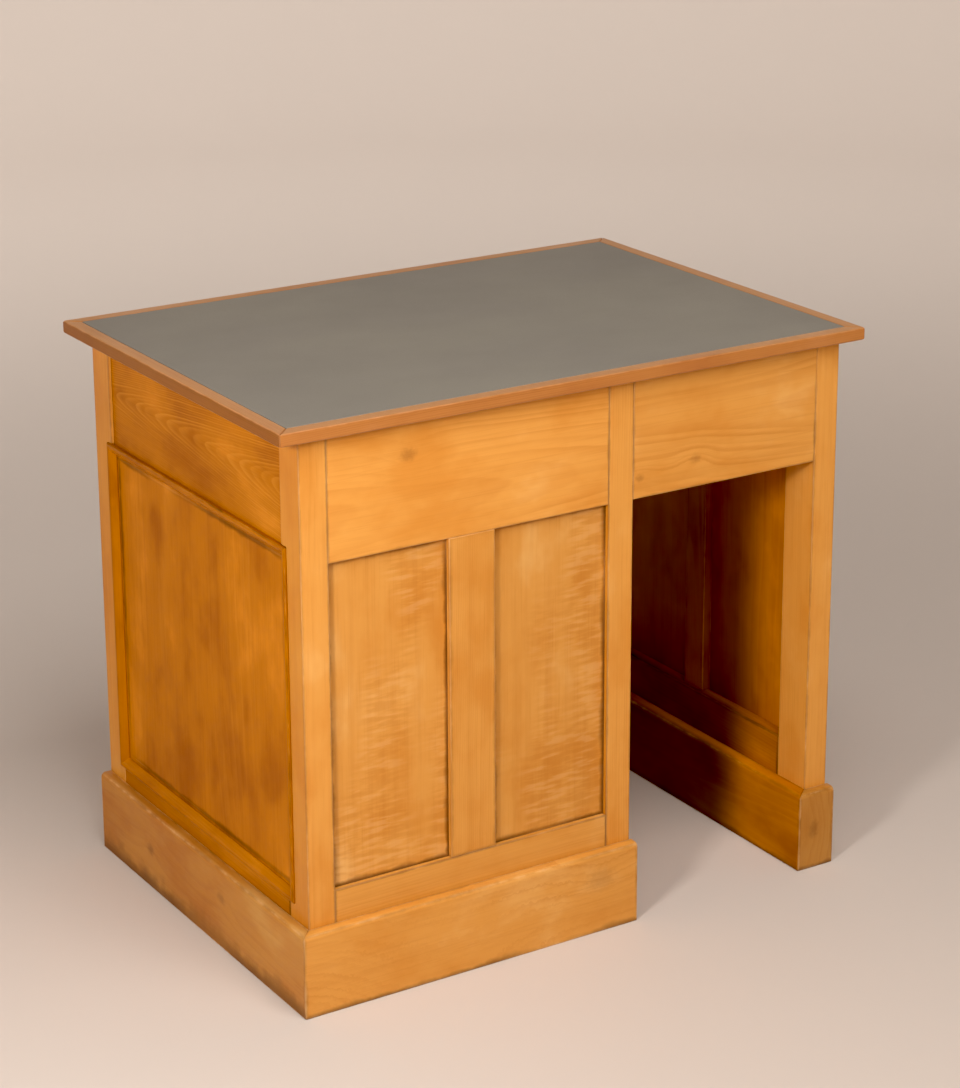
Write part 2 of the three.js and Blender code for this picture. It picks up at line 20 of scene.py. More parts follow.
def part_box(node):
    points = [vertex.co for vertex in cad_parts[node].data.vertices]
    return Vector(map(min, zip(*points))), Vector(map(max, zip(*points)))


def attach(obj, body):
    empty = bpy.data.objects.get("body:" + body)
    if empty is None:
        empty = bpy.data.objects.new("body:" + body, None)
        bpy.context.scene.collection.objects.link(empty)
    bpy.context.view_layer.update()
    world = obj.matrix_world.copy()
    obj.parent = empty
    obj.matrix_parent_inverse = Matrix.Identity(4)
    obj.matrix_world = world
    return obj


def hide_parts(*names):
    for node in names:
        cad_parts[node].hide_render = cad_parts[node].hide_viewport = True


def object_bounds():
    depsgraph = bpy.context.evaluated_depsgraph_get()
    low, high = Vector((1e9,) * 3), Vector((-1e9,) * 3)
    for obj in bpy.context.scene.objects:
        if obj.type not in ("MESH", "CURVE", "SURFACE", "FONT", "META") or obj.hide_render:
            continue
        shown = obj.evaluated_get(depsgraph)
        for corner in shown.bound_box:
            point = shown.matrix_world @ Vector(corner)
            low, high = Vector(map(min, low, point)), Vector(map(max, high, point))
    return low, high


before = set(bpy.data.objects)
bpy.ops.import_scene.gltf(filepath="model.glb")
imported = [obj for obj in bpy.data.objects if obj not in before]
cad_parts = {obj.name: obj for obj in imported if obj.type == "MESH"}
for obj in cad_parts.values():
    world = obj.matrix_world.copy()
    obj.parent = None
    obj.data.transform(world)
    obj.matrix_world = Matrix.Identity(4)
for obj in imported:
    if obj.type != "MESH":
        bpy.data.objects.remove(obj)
CAD_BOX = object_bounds()

log = logging.getLogger("desk")

Socket = bpy.types.NodeSocket
Colour = tuple[float, float, float, float]
Triple = tuple[float, float, float]

# tones of a face with no painted kneehole shade
UNSHADED: Triple = (1.0, 1.0, 1.0)  # tones of a face that nothing has darkened
SEED_STEP: Triple = (3.17, 1.31, 2.23)  # metres from the noise of one seed to that of the next


# ------------------------------------------------------------------ colour and node helpers


def shade(code: str) -> Colour:
    """Turns a hex colour into the linear colour that shaders use.

    Args:
        code: Six hex digits, red, green and blue.

    Returns:
        Red, green, blue and an alpha of 1.
    """
    channels = [int(code[i : i + 2], 16) / 255 for i in (0, 2, 4)]
    linear = [c / 12.92 if c <= 0.04045 else ((c + 0.055) / 1.055) ** 2.4 for c in channels]
    return (*linear, 1.0)


class Graph:
    """Short calls that add nodes to one shader tree, each giving back an output socket."""

    def __init__(self, tree: bpy.types.NodeTree) -> None:
        """Keeps the tree that nodes are added to."""
        self.tree = tree

    def node(
        self, kind: str, inputs: dict[str | int, object] | None = None, **settings: object
    ) -> bpy.types.Node:
        """Adds a node, sets its properties and fills or links its inputs.

        Args:
            kind: The node's type name.
            inputs: Input names or numbers, with a socket to link or a value to set.
            **settings: Properties of the node itself.

        Returns:
            The new node.
        """
        made = self.tree.nodes.new(kind)
        for name, value in settings.items():
            setattr(made, name, value)
        for name, value in (inputs or {}).items():
            if isinstance(value, Socket):
                self.tree.links.new(value, made.inputs[name])
            else:
                made.inputs[name].default_value = value
        return made

    def math(self, operation: str, *values: object) -> Socket:
        """A Math node's result."""
        return self.node("ShaderNodeMath", dict(enumerate(values)), operation=operation).outputs[0]

    def vector(self, operation: str, *values: object) -> Socket:
        """A Vector Math node's vector result."""
        return self.node("ShaderNodeVectorMath", dict(enumerate(values)), operation=operation).outputs[0]

    def scale(self, place: object, amount: object) -> Socket:
        """A vector made longer or shorter by an amount."""
        inputs = {0: place, "Scale": amount}
        return self.node("ShaderNodeVectorMath", inputs, operation="SCALE").outputs[0]

    def parts(self, place: Socket) -> bpy.types.NodeOutputs:
        """The X, Y and Z of a vector."""
        return self.node("ShaderNodeSeparateXYZ", {0: place}).outputs

    def noise(self, place: Socket, stretch: Triple, detail: float = 2.0) -> Socket:
        """Noise that varies at its own rate along each axis.

        Args:
            place: Where the noise is read, in metres.
            stretch: Its repeats per metre along each axis.
            detail: How many finer layers lie over it.

        Returns:
            The noise, from 0 to 1 and mostly near 0.5.
        """
        scaled = self.vector("MULTIPLY", place, stretch)
        settings = {"Vector": scaled, "Scale": 1.0, "Detail": detail, "Roughness": 0.55}
        return self.node("ShaderNodeTexNoise", settings).outputs["Fac"]

    def step(self, value: object, low: object, high: object) -> Socket:
        """A smooth rise from 0 at low to 1 at high, which falls instead when high is the lesser."""
        inputs = {"Value": value, "From Min": low, "From Max": high}
        return self.node("ShaderNodeMapRange", inputs, interpolation_type="SMOOTHSTEP").outputs[0]

    def span(self, value: object, low: object, high: object) -> Socket:
        """Stretches a 0 to 1 value to run from low to high."""
        return self.node("ShaderNodeMapRange", {"Value": value, "To Min": low, "To Max": high}).outputs[0]

    def mix(self, amount: object, first: object, second: object, blend: str = "MIX") -> Socket:
        """Mixes two colours.

        Args:
            amount: How much of the second is laid on the first, from 0 to 1.
            first: The colour that is there.
            second: The colour that is laid on it.
            blend: How it is laid on.

        Returns:
            The mixed colour.
        """
        factor, lower, upper = 0, 6, 7  # a Mix node's sockets for colours
        inputs = {factor: amount, lower: first, upper: second}
        settings = {"data_type": "RGBA", "blend_type": blend, "clamp_factor": True}
        return self.node("ShaderNodeMix", inputs, **settings).outputs[2]

    def group(self, tree: bpy.types.NodeTree, inputs: dict[str, object]) -> bpy.types.Node:
        """Places a node group with its own values."""
        return self.node("ShaderNodeGroup", inputs, node_tree=tree)


class Effect:
    """A shader effect that several finishes share, kept as a node group with named sockets."""

    def __init__(self, name: str, takes: dict[str, str], gives: tuple[str, ...]) -> None:
        """Makes the empty group with its sockets.

        Args:
            name: The group's name.
            takes: Input names, with "Vector" or "Float".
            gives: Names of the values it puts out.
        """
        self.tree = bpy.data.node_groups.new(name, "ShaderNodeTree")
        for socket, kind in takes.items():
            self.tree.interface.new_socket(socket, in_out="INPUT", socket_type=f"NodeSocket{kind}")
        for socket in gives:
            self.tree.interface.new_socket(socket, in_out="OUTPUT", socket_type="NodeSocketFloat")
        self.graph = Graph(self.tree)
        self.taken = self.tree.nodes.new("NodeGroupInput").outputs
        self.given = self.tree.nodes.new("NodeGroupOutput").inputs

    def give(self, name: str, value: Socket) -> None:
        """Links a value to one of the group's outputs."""
        self.tree.links.new(value, self.given[name])


def ring_radius(g: Graph, taken: bpy.types.NodeOutputs, place: Socket) -> Socket:
    """Finds how far each point of a board was from the tree's heart.

    Args:
        g: The grain group's graph.
        taken: The group's inputs.
        place: Places on the board, moved on by its seed.

    Returns:
        The distance in metres, with the sway, the knots' bend and the tremble of real rings.
    """
    sway_rate = (1.7, 8.0, 8.0)
    tremble_rate = (16.0, 60.0, 60.0)
    tremble_depth = 0.0016
    at = g.parts(taken["Place"])
    noise = {"Vector": g.vector("MULTIPLY", place, sway_rate), "Scale": 1.0, "Detail": 1.5}
    slow = g.node("ShaderNodeTexNoise", noise).outputs["Color"]
    sway = g.node("ShaderNodeSeparateColor", {0: slow}).outputs
    reach = g.math("MULTIPLY", taken["Wander"], 2.0)
    squares = []
    for axis, heart, part in ((1, "Heart Across", 0), (2, "Heart Depth", 1)):
        moved = g.math("SUBTRACT", at[axis], taken[heart])
        swayed = g.math("MULTIPLY", g.math("SUBTRACT", sway[part], 0.5), reach)
        offset = g.math("ADD", moved, swayed)
        squares.append(g.math("MULTIPLY", offset, offset))
    radius = g.math("SQRT", g.math("ADD", *squares))
    radius = g.math("MULTIPLY_ADD", at[0], taken["Run Out"], radius)
    radius = g.math("ADD", radius, taken["Bend"])
    tremble = g.math("SUBTRACT", g.noise(place, tremble_rate, 1.0), 0.5)
    return g.math("MULTIPLY_ADD", tremble, tremble_depth, radius)


def ring_lines(g: Graph, radius: Socket, pitch: Socket, place: Socket) -> Socket:
    """Draws each year's late wood: a line that darkens slowly and ends sharply.

    Args:
        g: The grain group's graph.
        radius: Distance from the tree's heart.
        pitch: Width of a year's ring.
        place: Places on the board, moved on by its seed.

    Returns:
        Strength of the late wood, from 0 to 1.
    """
    spacing_rate, spacing_swing = 70.0, 1.6
    late_start, late_end = 0.2, 0.88
    weakest = 0.3
    uneven = {"W": g.math("MULTIPLY", radius, spacing_rate), "Scale": 1.0, "Detail": 1.0}
    lean = g.node("ShaderNodeTexNoise", uneven, noise_dimensions="1D").outputs["Fac"]
    years = g.math("MULTIPLY_ADD", lean, spacing_swing, g.math("DIVIDE", radius, pitch))
    season = g.math("FRACT", years)
    ended = g.math("SUBTRACT", 1.0, g.step(season, late_end, 1.0))
    late = g.math("MULTIPLY", g.step(season, late_start, late_end), ended)
    year = g.math("MULTIPLY", g.math("FLOOR", years), 7.31)
    strength = g.node("ShaderNodeTexWhiteNoise", {"W": year}, noise_dimensions="1D").outputs["Value"]
    late = g.math("MULTIPLY", late, g.span(strength, weakest, 1.0))
    shown = g.span(g.step(g.noise(place, (2.6, 7.0, 7.0), 1.0), 0.38, 0.6), weakest, 1.0)
    return g.math("MULTIPLY", late, shown)


def make_grain() -> bpy.types.NodeTree:
    """The figure of a sawn board, from growth rings round a heart that may lie outside it.

    X runs along the grain, Y across the board and Z through it, in metres.

    Returns:
        A group that gives rings, fibre, streaks and mottle from 0 to 1, and ripple, which is 0.5
        where the wood is plain and runs both ways from there where it is curly.
    """
    takes = {
        "Place": "Vector",
        "Seed": "Float",
        "Pitch": "Float",
        "Heart Across": "Float",
        "Heart Depth": "Float",
        "Run Out": "Float",
        "Wander": "Float",
        "Bend": "Float",
    }
    effect = Effect("Board grain", takes, ("Rings", "Fibre", "Streaks", "Mottle", "Ripple"))
    g, taken = effect.graph, effect.taken
    place = g.vector("ADD", taken["Place"], g.scale(SEED_STEP, taken["Seed"]))
    radius = ring_radius(g, taken, place)
    effect.give("Rings", ring_lines(g, radius, taken["Pitch"], place))
    effect.give("Fibre", g.noise(place, (11.0, 520.0, 520.0), 2.0))
    effect.give("Streaks", g.noise(place, (2.2, 80.0, 80.0), 3.0))
    effect.give("Mottle", g.noise(place, (6.5, 10.5, 10.5), 4.0))
    curl = g.step(g.noise(place, (150.0, 22.0, 22.0), 2.0), 0.36, 0.66)
    region = g.step(g.noise(place, (3.0, 8.0, 8.0), 1.0), 0.42, 0.58)
    flecks = g.math("MULTIPLY", g.math("SUBTRACT", curl, 0.5), region)
    effect.give("Ripple", g.math("ADD", flecks, 0.5))
    return effect.tree


def make_knot() -> bpy.types.NodeTree:
    """A knot at a point of the board, which also bends the rings that run past it.

    Returns:
        A group that gives the knot's mask and the bend that it puts in the rings, in metres.
    """
    stretch = (0.72, 1.0, 0.35)  # a knot is longer along the grain, and runs deep into the board
    solid, clear = 0.15, 1.45  # where the core ends and the plain wood starts, in shares of the radius
    bend_reach, bend_height = -0.09, 1.3
    effect = Effect("Knot", {"Place": "Vector", "Centre": "Vector", "Radius": "Float"}, ("Core", "Bend"))
    g, taken = effect.graph, effect.taken
    away = g.vector("MULTIPLY", g.vector("SUBTRACT", taken["Place"], taken["Centre"]), stretch)
    ragged = g.math("SUBTRACT", g.noise(taken["Place"], (170.0, 170.0, 170.0), 2.0), 0.5)
    distance = g.node("ShaderNodeVectorMath", {0: away}, operation="LENGTH").outputs["Value"]
    share = g.math("MULTIPLY_ADD", ragged, 1.1, g.math("DIVIDE", distance, taken["Radius"]))
    effect.give("Core", g.math("SUBTRACT", 1.0, g.step(share, solid, clear)))
    near = g.math("EXPONENT", g.math("MULTIPLY", g.math("MULTIPLY", share, share), bend_reach))
    effect.give("Bend", g.math("MULTIPLY", g.math("MULTIPLY", near, taken["Radius"]), bend_height))
    return effect.tree


def make_border() -> bpy.types.NodeTree:
    """How far a point on a board's face is from the nearest arris of a box.

    Returns:
        A group that gives that distance in metres.
    """
    effect = Effect("Border", {"Place": "Vector", "Low": "Vector", "High": "Vector"}, ("Distance",))
    g, taken = effect.graph, effect.taken
    below = g.vector("SUBTRACT", taken["Place"], taken["Low"])
    above = g.vector("SUBTRACT", taken["High"], taken["Place"])
    x, y, z = g.parts(g.vector("ABSOLUTE", g.vector("MINIMUM", below, above)))
    least = g.math("MINIMUM", g.math("MINIMUM", x, y), z)
    most = g.math("MAXIMUM", g.math("MAXIMUM", x, y), z)
    total = g.math("ADD", g.math("ADD", x, y), z)
    effect.give("Distance", g.math("SUBTRACT", g.math("SUBTRACT", total, least), most))
    return effect.tree


def make_fringe() -> bpy.types.NodeTree:
    """A ragged fringe along an edge, for wear on an arris, or dirt and painted shade in a joint.

    Returns:
        A group that gives the fringe's mask, from a distance and a width in metres.
    """
    takes = {"Place": "Vector", "Distance": "Float", "Width": "Float", "Rate": "Float"}
    effect = Effect("Fringe", takes, ("Mask",))
    g, taken = effect.graph, effect.taken
    scaled = g.scale(taken["Place"], taken["Rate"])
    ragged = g.noise(scaled, (1.0, 1.0, 1.0), 4.0)
    patchy = g.noise(scaled, (0.17, 0.17, 0.17), 1.0)
    width = g.math("MULTIPLY", taken["Width"], g.span(ragged, -0.2, 1.9))
    edge = g.math("SUBTRACT", 1.0, g.step(taken["Distance"], 0.0, g.math("MAXIMUM", width, 1e-4)))
    effect.give("Mask", g.math("MULTIPLY", edge, g.step(patchy, 0.2, 0.55)))
    return effect.tree


GRAIN = make_grain()
KNOT = make_knot()
BORDER = make_border()
FRINGE = make_fringe()


# ------------------------------------------------------------------ finishes


class Along(Enum):
    """What a board's grain follows: an axis, or the four sides of a mitred frame across X."""

    X = 0
    Y = 1
    Z = 2
    FRAME = 3


@dataclass(frozen=True)
class Knot:
    """A knot in a board.

    Attributes:
        at: Its place along, across and through the board, in metres from the board's centre.
        radius: Its size in metres.
        darkness: Strength of its colour; 0 for a swirl in the rings with no knot on the face.
    """

    at: Triple
    radius: float = 0.006
    darkness: float = 0.6


@dataclass(frozen=True)
class Cut:
    """How one board was sawn and what has happened to it since.

    Attributes:
        along: The axis of its grain.
        seed: Picks its own run of the noise.
        pitch: Width of a year's ring, in metres.
        heart: Where the tree's heart lies across and through the board, in metres.
        run_out: How far the rings climb through the board, in metres a metre.
        wander: How far the rings sway, in metres.
        rings: Strength of the ring pattern.
        ripple: Strength of the curly figure.
        cloud: How strong its patches are, against the finish's own.
        rub: How strong and wide its rubbed arrises are, against the finish's own.
        tone: Lighter than the finish above 1, darker below.
        inner: Painted shade on the face that looks into the kneehole, as its tones at the mouth,
        deep inside, and deep inside near the floor.
        end_painted_shade: Painted shade, a colour that multiplies the faces that look to the desk's ends.
        top_painted_reflection: Painted reflection, a colour that multiplies the faces that look up.
        grime_and_shade: Strength of the dirt and painted shade along its edges.
        grime_and_shade_width: How far they reach from an edge, in metres.
        floor_dirt: How far dirt climbs from the floor, in metres.
        inset: How much of its edge is hidden in grooves, along each axis, in metres.
        knots: Its knots.
    """

    along: Along
    seed: float
    pitch: float = 0.0042
    heart: tuple[float, float] = (0.01, 0.06)
    run_out: float = 0.02
    wander: float = 0.006
    rings: float = 0.5
    ripple: float = 0.0
    cloud: float = 1.0
    rub: float = 1.0
    tone: float = 1.0
    # painted shade of the kneehole, as tones at its mouth, deep inside and near the floor
    inner: Triple = UNSHADED
    end_painted_shade: Colour | None = None
    top_painted_reflection: Colour | None = None
    grime_and_shade: float = 0.35
    grime_and_shade_width: float = 0.006
    floor_dirt: float = 0.0
    inset: Triple = (0.0, 0.0, 0.0)
    knots: tuple[Knot, ...] = ()


@dataclass(frozen=True)
class KneeholeShade:
    """Painted shade that darkens the faces that look into the kneehole.

    Attributes:
        mouth: Y at which the darkening starts and is full, behind the class side.
        far_mouth: Y at which it starts to fade and stops fading, towards the teacher's side.
        far_share: How much of it is left there.
        foot: Height up to which a board is darkest, and height at which that has gone.
    """

    mouth: tuple[float, float] = (-0.2, -0.1)
    far_mouth: tuple[float, float] = (0.14, 0.27)
    far_share: float = 0.2
    foot: tuple[float, float] = (0.12, 0.5)

    def darken(
        self, g: Graph, colour: Socket, place: Socket, depth: tuple[float, float], tones: Triple
    ) -> Socket:
        """Paints shade on one face of a board, darker the deeper and lower it is.

        Args:
            g: The material's graph.
            colour: The board's colour.
            place: Places on the desk.
            depth: X of the board's middle, where the darkening ends, and X of the face.
            tones: The tones at the mouth, deep inside, and deep inside near the floor.

        Returns:
            The darkened colour.
        """
        at_mouth, inside, near_floor = tones
        x, y, z = g.parts(place)
        deep_tone = g.span(g.step(z, *self.foot), near_floor, inside)
        kept = g.span(g.step(y, *self.far_mouth), 1.0, self.far_share)
        deep = g.math("MULTIPLY", g.step(y, *self.mouth), kept)
        tone = g.span(deep, at_mouth, deep_tone)
        return g.mix(g.step(x, *depth), colour, tone, blend="MULTIPLY")


KNEEHOLE_SHADE = KneeholeShade()


@dataclass(frozen=True)
class WoodFinish:
    """One stain and varnish, worked over boards that each have their own cut.

    Attributes:
        name: The finish's name, which its materials start with.
        pale: Colour of the early wood.
        line: Colour of the growth rings.
        deep: Colour of the streaks and fine lines along the grain.
        blush: Colour of the patches where the stain has taken.
        thin: Colour of the patches where the varnish has worn thin.
        worn: Colour of a rubbed arris.
        dirt: Colour of old polish and dirt in the joints, and of the painted shade along edges.
        knot: Colour of a knot's heart.
        mottle: Strength of the patches.
        fibre: Strength of the fine lines along the grain.
        wear: Strength of the rubbed arrises.
        wear_width: How far they reach, in metres.
        roughness: Roughness of the varnish.
        coat: Weight of the clear coat.
        gloss: Strength of the bare varnish's reflection.
    """

    name: str
    pale: Colour
    line: Colour
    deep: Colour
    blush: Colour
    thin: Colour
    worn: Colour
    dirt: Colour
    knot: Colour
    mottle: float = 0.62
    fibre: float = 0.16
    wear: float = 0.5
    wear_width: float = 0.0022
    roughness: float = 0.42
    coat: float = 0.12
    gloss: float = 0.25

    def material(self, name: str, low: Vector, high: Vector, cut: Cut) -> bpy.types.Material:
        """Makes the finish for one board.

        Args:
            name: The board's name.
            low: The board's lowest corner.
            high: The board's highest corner.
            cut: How the board was sawn.

        Returns:
            The board's own material.
        """
        material = bpy.data.materials.new(f"{self.name}_{name}")
        material.use_nodes = True
        material.diffuse_color = self.pale
        g = Graph(material.node_tree)
        place = g.node("ShaderNodeTexCoord").outputs["Object"]
        grain, cores = self._grain(g, self._board_place(g, place, low, high, cut.along), cut)
        colour = self._stained(g, grain, cut)
        for knot, core in zip(cut.knots, cores):
            colour = g.mix(g.math("MULTIPLY", core, knot.darkness), colour, self.knot)
        if cut.tone != 1.0:
            colour = g.mix(1.0, colour, (cut.tone, cut.tone, cut.tone, 1.0), blend="MULTIPLY")
        # painted shade on the face that looks into the kneehole
        if cut.inner != UNSHADED:
            colour = KNEEHOLE_SHADE.darken(g, colour, place, ((low.x + high.x) / 2, low.x), cut.inner)
        # painted shade on the faces that look to the ends, painted reflection on those that look up
        colour = self._painted_face_light(g, colour, cut)

        hidden = Vector(cut.inset)
        ends = {"Place": place, "Low": tuple(low + hidden), "High": tuple(high - hidden)}
        border = g.group(BORDER, ends).outputs["Distance"]
        rub = self._fringe(g, place, border, self.wear_width * cut.rub, 55.0)
        colour = g.mix(g.math("MULTIPLY", rub, self.wear * cut.rub), colour, self.worn)
        # old dirt and painted shade along the edges and joints, and dirt from the floor
        edge_dirt_shade = self._edge_dirt_and_shade(g, place, border, cut)
        colour = g.mix(edge_dirt_shade, colour, self.dirt)

        sheen = g.math("MULTIPLY_ADD", grain["Fibre"], 0.12, self.roughness - 0.06)
        sheen = g.math("MULTIPLY_ADD", edge_dirt_shade, 0.2, sheen)
        relief = g.math("MULTIPLY_ADD", grain["Rings"], 0.35, grain["Fibre"])
        bump = g.node("ShaderNodeBump", {"Strength": 0.22, "Distance": 0.00035, "Height": relief})
        shader = material.node_tree.nodes["Principled BSDF"]
        links = material.node_tree.links
        links.new(colour, shader.inputs["Base Color"])
        links.new(sheen, shader.inputs["Roughness"])
        links.new(bump.outputs[0], shader.inputs["Normal"])
        shader.inputs["Coat Weight"].default_value = self.coat
        shader.inputs["Coat Roughness"].default_value = 0.28
        shader.inputs["Specular IOR Level"].default_value = self.gloss
        return material

    @staticmethod
    def _board_place(g: Graph, place: Socket, low: Vector, high: Vector, along: Along) -> Socket:
        """Turns places on the desk into places on the board: along, across and through it.

        Args:
            g: The material's graph.
            place: Places on the desk.
            low: The board's lowest corner.
            high: The board's highest corner.
            along: What its grain follows.

        Returns:
            Places on the board, in metres from its centre.
        """
        size = high - low
        parts = g.parts(g.vector("SUBTRACT", place, tuple((low + high) / 2)))
        if along is Along.FRAME:
            out, up = g.math("ABSOLUTE", parts[1]), g.math("ABSOLUTE", parts[2])
            to_side = g.math("SUBTRACT", size[1] / 2, out)
            to_end = g.math("SUBTRACT", size[2] / 2, up)
            upright = g.math("LESS_THAN", to_side, to_end)
            level = g.node("ShaderNodeCombineXYZ", {0: parts[1], 1: up, 2: parts[0]}).outputs[0]
            stood = g.node("ShaderNodeCombineXYZ", {0: parts[2], 1: out, 2: parts[0]}).outputs[0]
            return g.mix(upright, level, stood)
        others = sorted((axis for axis in range(3) if axis != along.value), key=lambda axis: -size[axis])
        inputs = {number: parts[axis] for number, axis in enumerate((along.value, *others))}
        return g.node("ShaderNodeCombineXYZ", inputs).outputs[0]

    @staticmethod
    def _grain(g: Graph, local: Socket, cut: Cut) -> tuple[bpy.types.NodeOutputs, list[Socket]]:
        """Lays the growth rings and the knots that bend them.

        Args:
            g: The material's graph.
            local: Places on the board.
            cut: How the board was sawn.

        Returns:
            The grain group's outputs, and the mask of each knot.
        """
        knots = [g.group(KNOT, {"Place": local, "Centre": k.at, "Radius": k.radius}) for k in cut.knots]
        inputs = {
            "Place": local,
            "Seed": cut.seed,
            "Pitch": cut.pitch,
            "Heart Across": cut.heart[0],
            "Heart Depth": cut.heart[1],
            "Run Out": cut.run_out,
            "Wander": cut.wander,
        }
        if knots:
            bend = knots[0].outputs["Bend"]
            for knot in knots[1:]:
                bend = g.math("ADD", bend, knot.outputs["Bend"])
            inputs["Bend"] = bend
        return g.group(GRAIN, inputs).outputs, [knot.outputs["Core"] for knot in knots]

    def _stained(self, g: Graph, grain: bpy.types.NodeOutputs, cut: Cut) -> Socket:
        """Colours the plain wood: patches, rings, streaks, fine lines and curl.

        Args:
            g: The material's graph.
            grain: The grain group's outputs.
            cut: How the board was sawn.

        Returns:
            The wood's colour.
        """
        patches = self.mottle * cut.cloud
        layers = [
            ("Mottle", 0.46, 0.7, patches, self.blush),
            ("Mottle", 0.46, 0.28, patches, self.thin),
            ("Rings", None, None, cut.rings, self.line),
            ("Streaks", 0.45, 0.75, self.fibre, self.deep),
            ("Fibre", 0.5, 0.78, self.fibre, self.deep),
        ]
        if cut.ripple:
            layers.append(("Ripple", 0.5, 1.0, cut.ripple, self.worn))
            layers.append(("Ripple", 0.5, 0.0, cut.ripple, self.deep))
        colour = self.pale
        for part, low, high, strength, tint in layers:
            mask = grain[part] if low is None else g.step(grain[part], low, high)
            colour = g.mix(g.math("MULTIPLY", mask, strength), colour, tint)
        return colour

    @staticmethod
    def _painted_face_light(g: Graph, colour: Socket, cut: Cut) -> Socket:
        """Paints shade on the faces that look to the desk's ends and a reflection on those that look up.

        Args:
            g: The material's graph.
            colour: The board's colour.
            cut: The board, with its painted shade and reflection.

        Returns:
            The tinted colour.
        """
        for axis, tint in ((0, cut.end_painted_shade), (2, cut.top_painted_reflection)):
            if tint:
                facing = g.parts(g.node("ShaderNodeTexCoord").outputs["Normal"])
                turned = g.math("ABSOLUTE", facing[axis])
                colour = g.mix(g.step(turned, 0.5, 0.9), colour, tint, blend="MULTIPLY")
        return colour

    def _edge_dirt_and_shade(self, g: Graph, place: Socket, border: Socket, cut: Cut) -> Socket:
        """Lays old polish, dirt and painted shade along the edges and, where it has any, dirt from the
        floor.

        Args:
            g: The material's graph.
            place: Places on the desk.
            border: Distance from the nearest arris.
            cut: The board, with the strength and width of its dirt and painted shade.

        Returns:
            The mask of the dirt and painted shade.
        """
        edge_dirt_shade = self._fringe(g, place, border, cut.grime_and_shade_width, 31.0)
        edge_dirt_shade = g.math("MULTIPLY", edge_dirt_shade, cut.grime_and_shade)
        if cut.floor_dirt:
            splash = self._fringe(g, place, g.parts(place)[2], cut.floor_dirt, 24.0)
            edge_dirt_shade = g.math("MAXIMUM", edge_dirt_shade, g.math("MULTIPLY", splash, 0.75))
        return edge_dirt_shade

    @staticmethod
    def _fringe(g: Graph, place: Socket, distance: Socket, width: float, rate: float) -> Socket:
        """Lays a ragged fringe along an edge.

        Args:
            g: The material's graph.
            place: Places on the desk.
            distance: Distance from the edge.
            width: How far the fringe reaches, in metres.
            rate: How often it comes and goes, in repeats per metre.

        Returns:
            The fringe's mask.
        """
        inputs = {"Place": place, "Distance": distance, "Width": width, "Rate": rate}
        return g.group(FRINGE, inputs).outputs["Mask"]


PINE = WoodFinish(
    name="pine",
    pale=shade("DE9B4A"),
    line=shade("BE7024"),
    deep=shade("B4681C"),
    blush=shade("CE8330"),
    thin=shade("EBB268"),
    worn=shade("F0BC80"),
    dirt=shade("4C280C"),
    knot=shade("7A4317"),
)
END_PINE = WoodFinish(
    name="end_pine",
    pale=shade("B46C0A"),
    line=shade("CF8A30"),
    deep=shade("8A4604"),
    blush=shade("924E02"),
    thin=shade("CE801E"),
    worn=shade("DF9848"),
    dirt=shade("331A08"),
    knot=shade("552B0C"),
    mottle=0.78,
    fibre=0.2,
    coat=0.0,
    gloss=0.12,
)
CHERRY = WoodFinish(
    name="lipping",
    pale=shade("B6763C"),
    line=shade("8E4E22"),
    deep=shade("8A4A20"),
    blush=shade("A05A2E"),
    thin=shade("CB8E5E"),
    worn=shade("DBA274"),
    dirt=shade("4A2510"),
    knot=shade("5A2F14"),
    mottle=0.35,
    roughness=0.4,
)
PLAIN_WOOD = WoodFinish(
    name="inside_wood",
    pale=shade("D2A868"),
    line=shade("B4864E"),
    deep=shade("AC8048"),
    blush=shade("C4955A"),
    thin=shade("DAB67C"),
    worn=shade("DEBD88"),
    dirt=shade("6E5232"),
    knot=shade("84592E"),
    mottle=0.3,
    wear=0.3,
    roughness=0.62,
    coat=0.0,
)
TURNED = WoodFinish(
    name="knob",
    pale=shade("94552A"),
    line=shade("6A381C"),
    deep=shade("64341A"),
    blush=shade("7A4220"),
    thin=shade("A3653A"),
    worn=shade("B87C4B"),
    dirt=shade("3A1D0D"),
    knot=shade("4A2611"),
    mottle=0.4,
    roughness=0.3,
    coat=0.4,
)


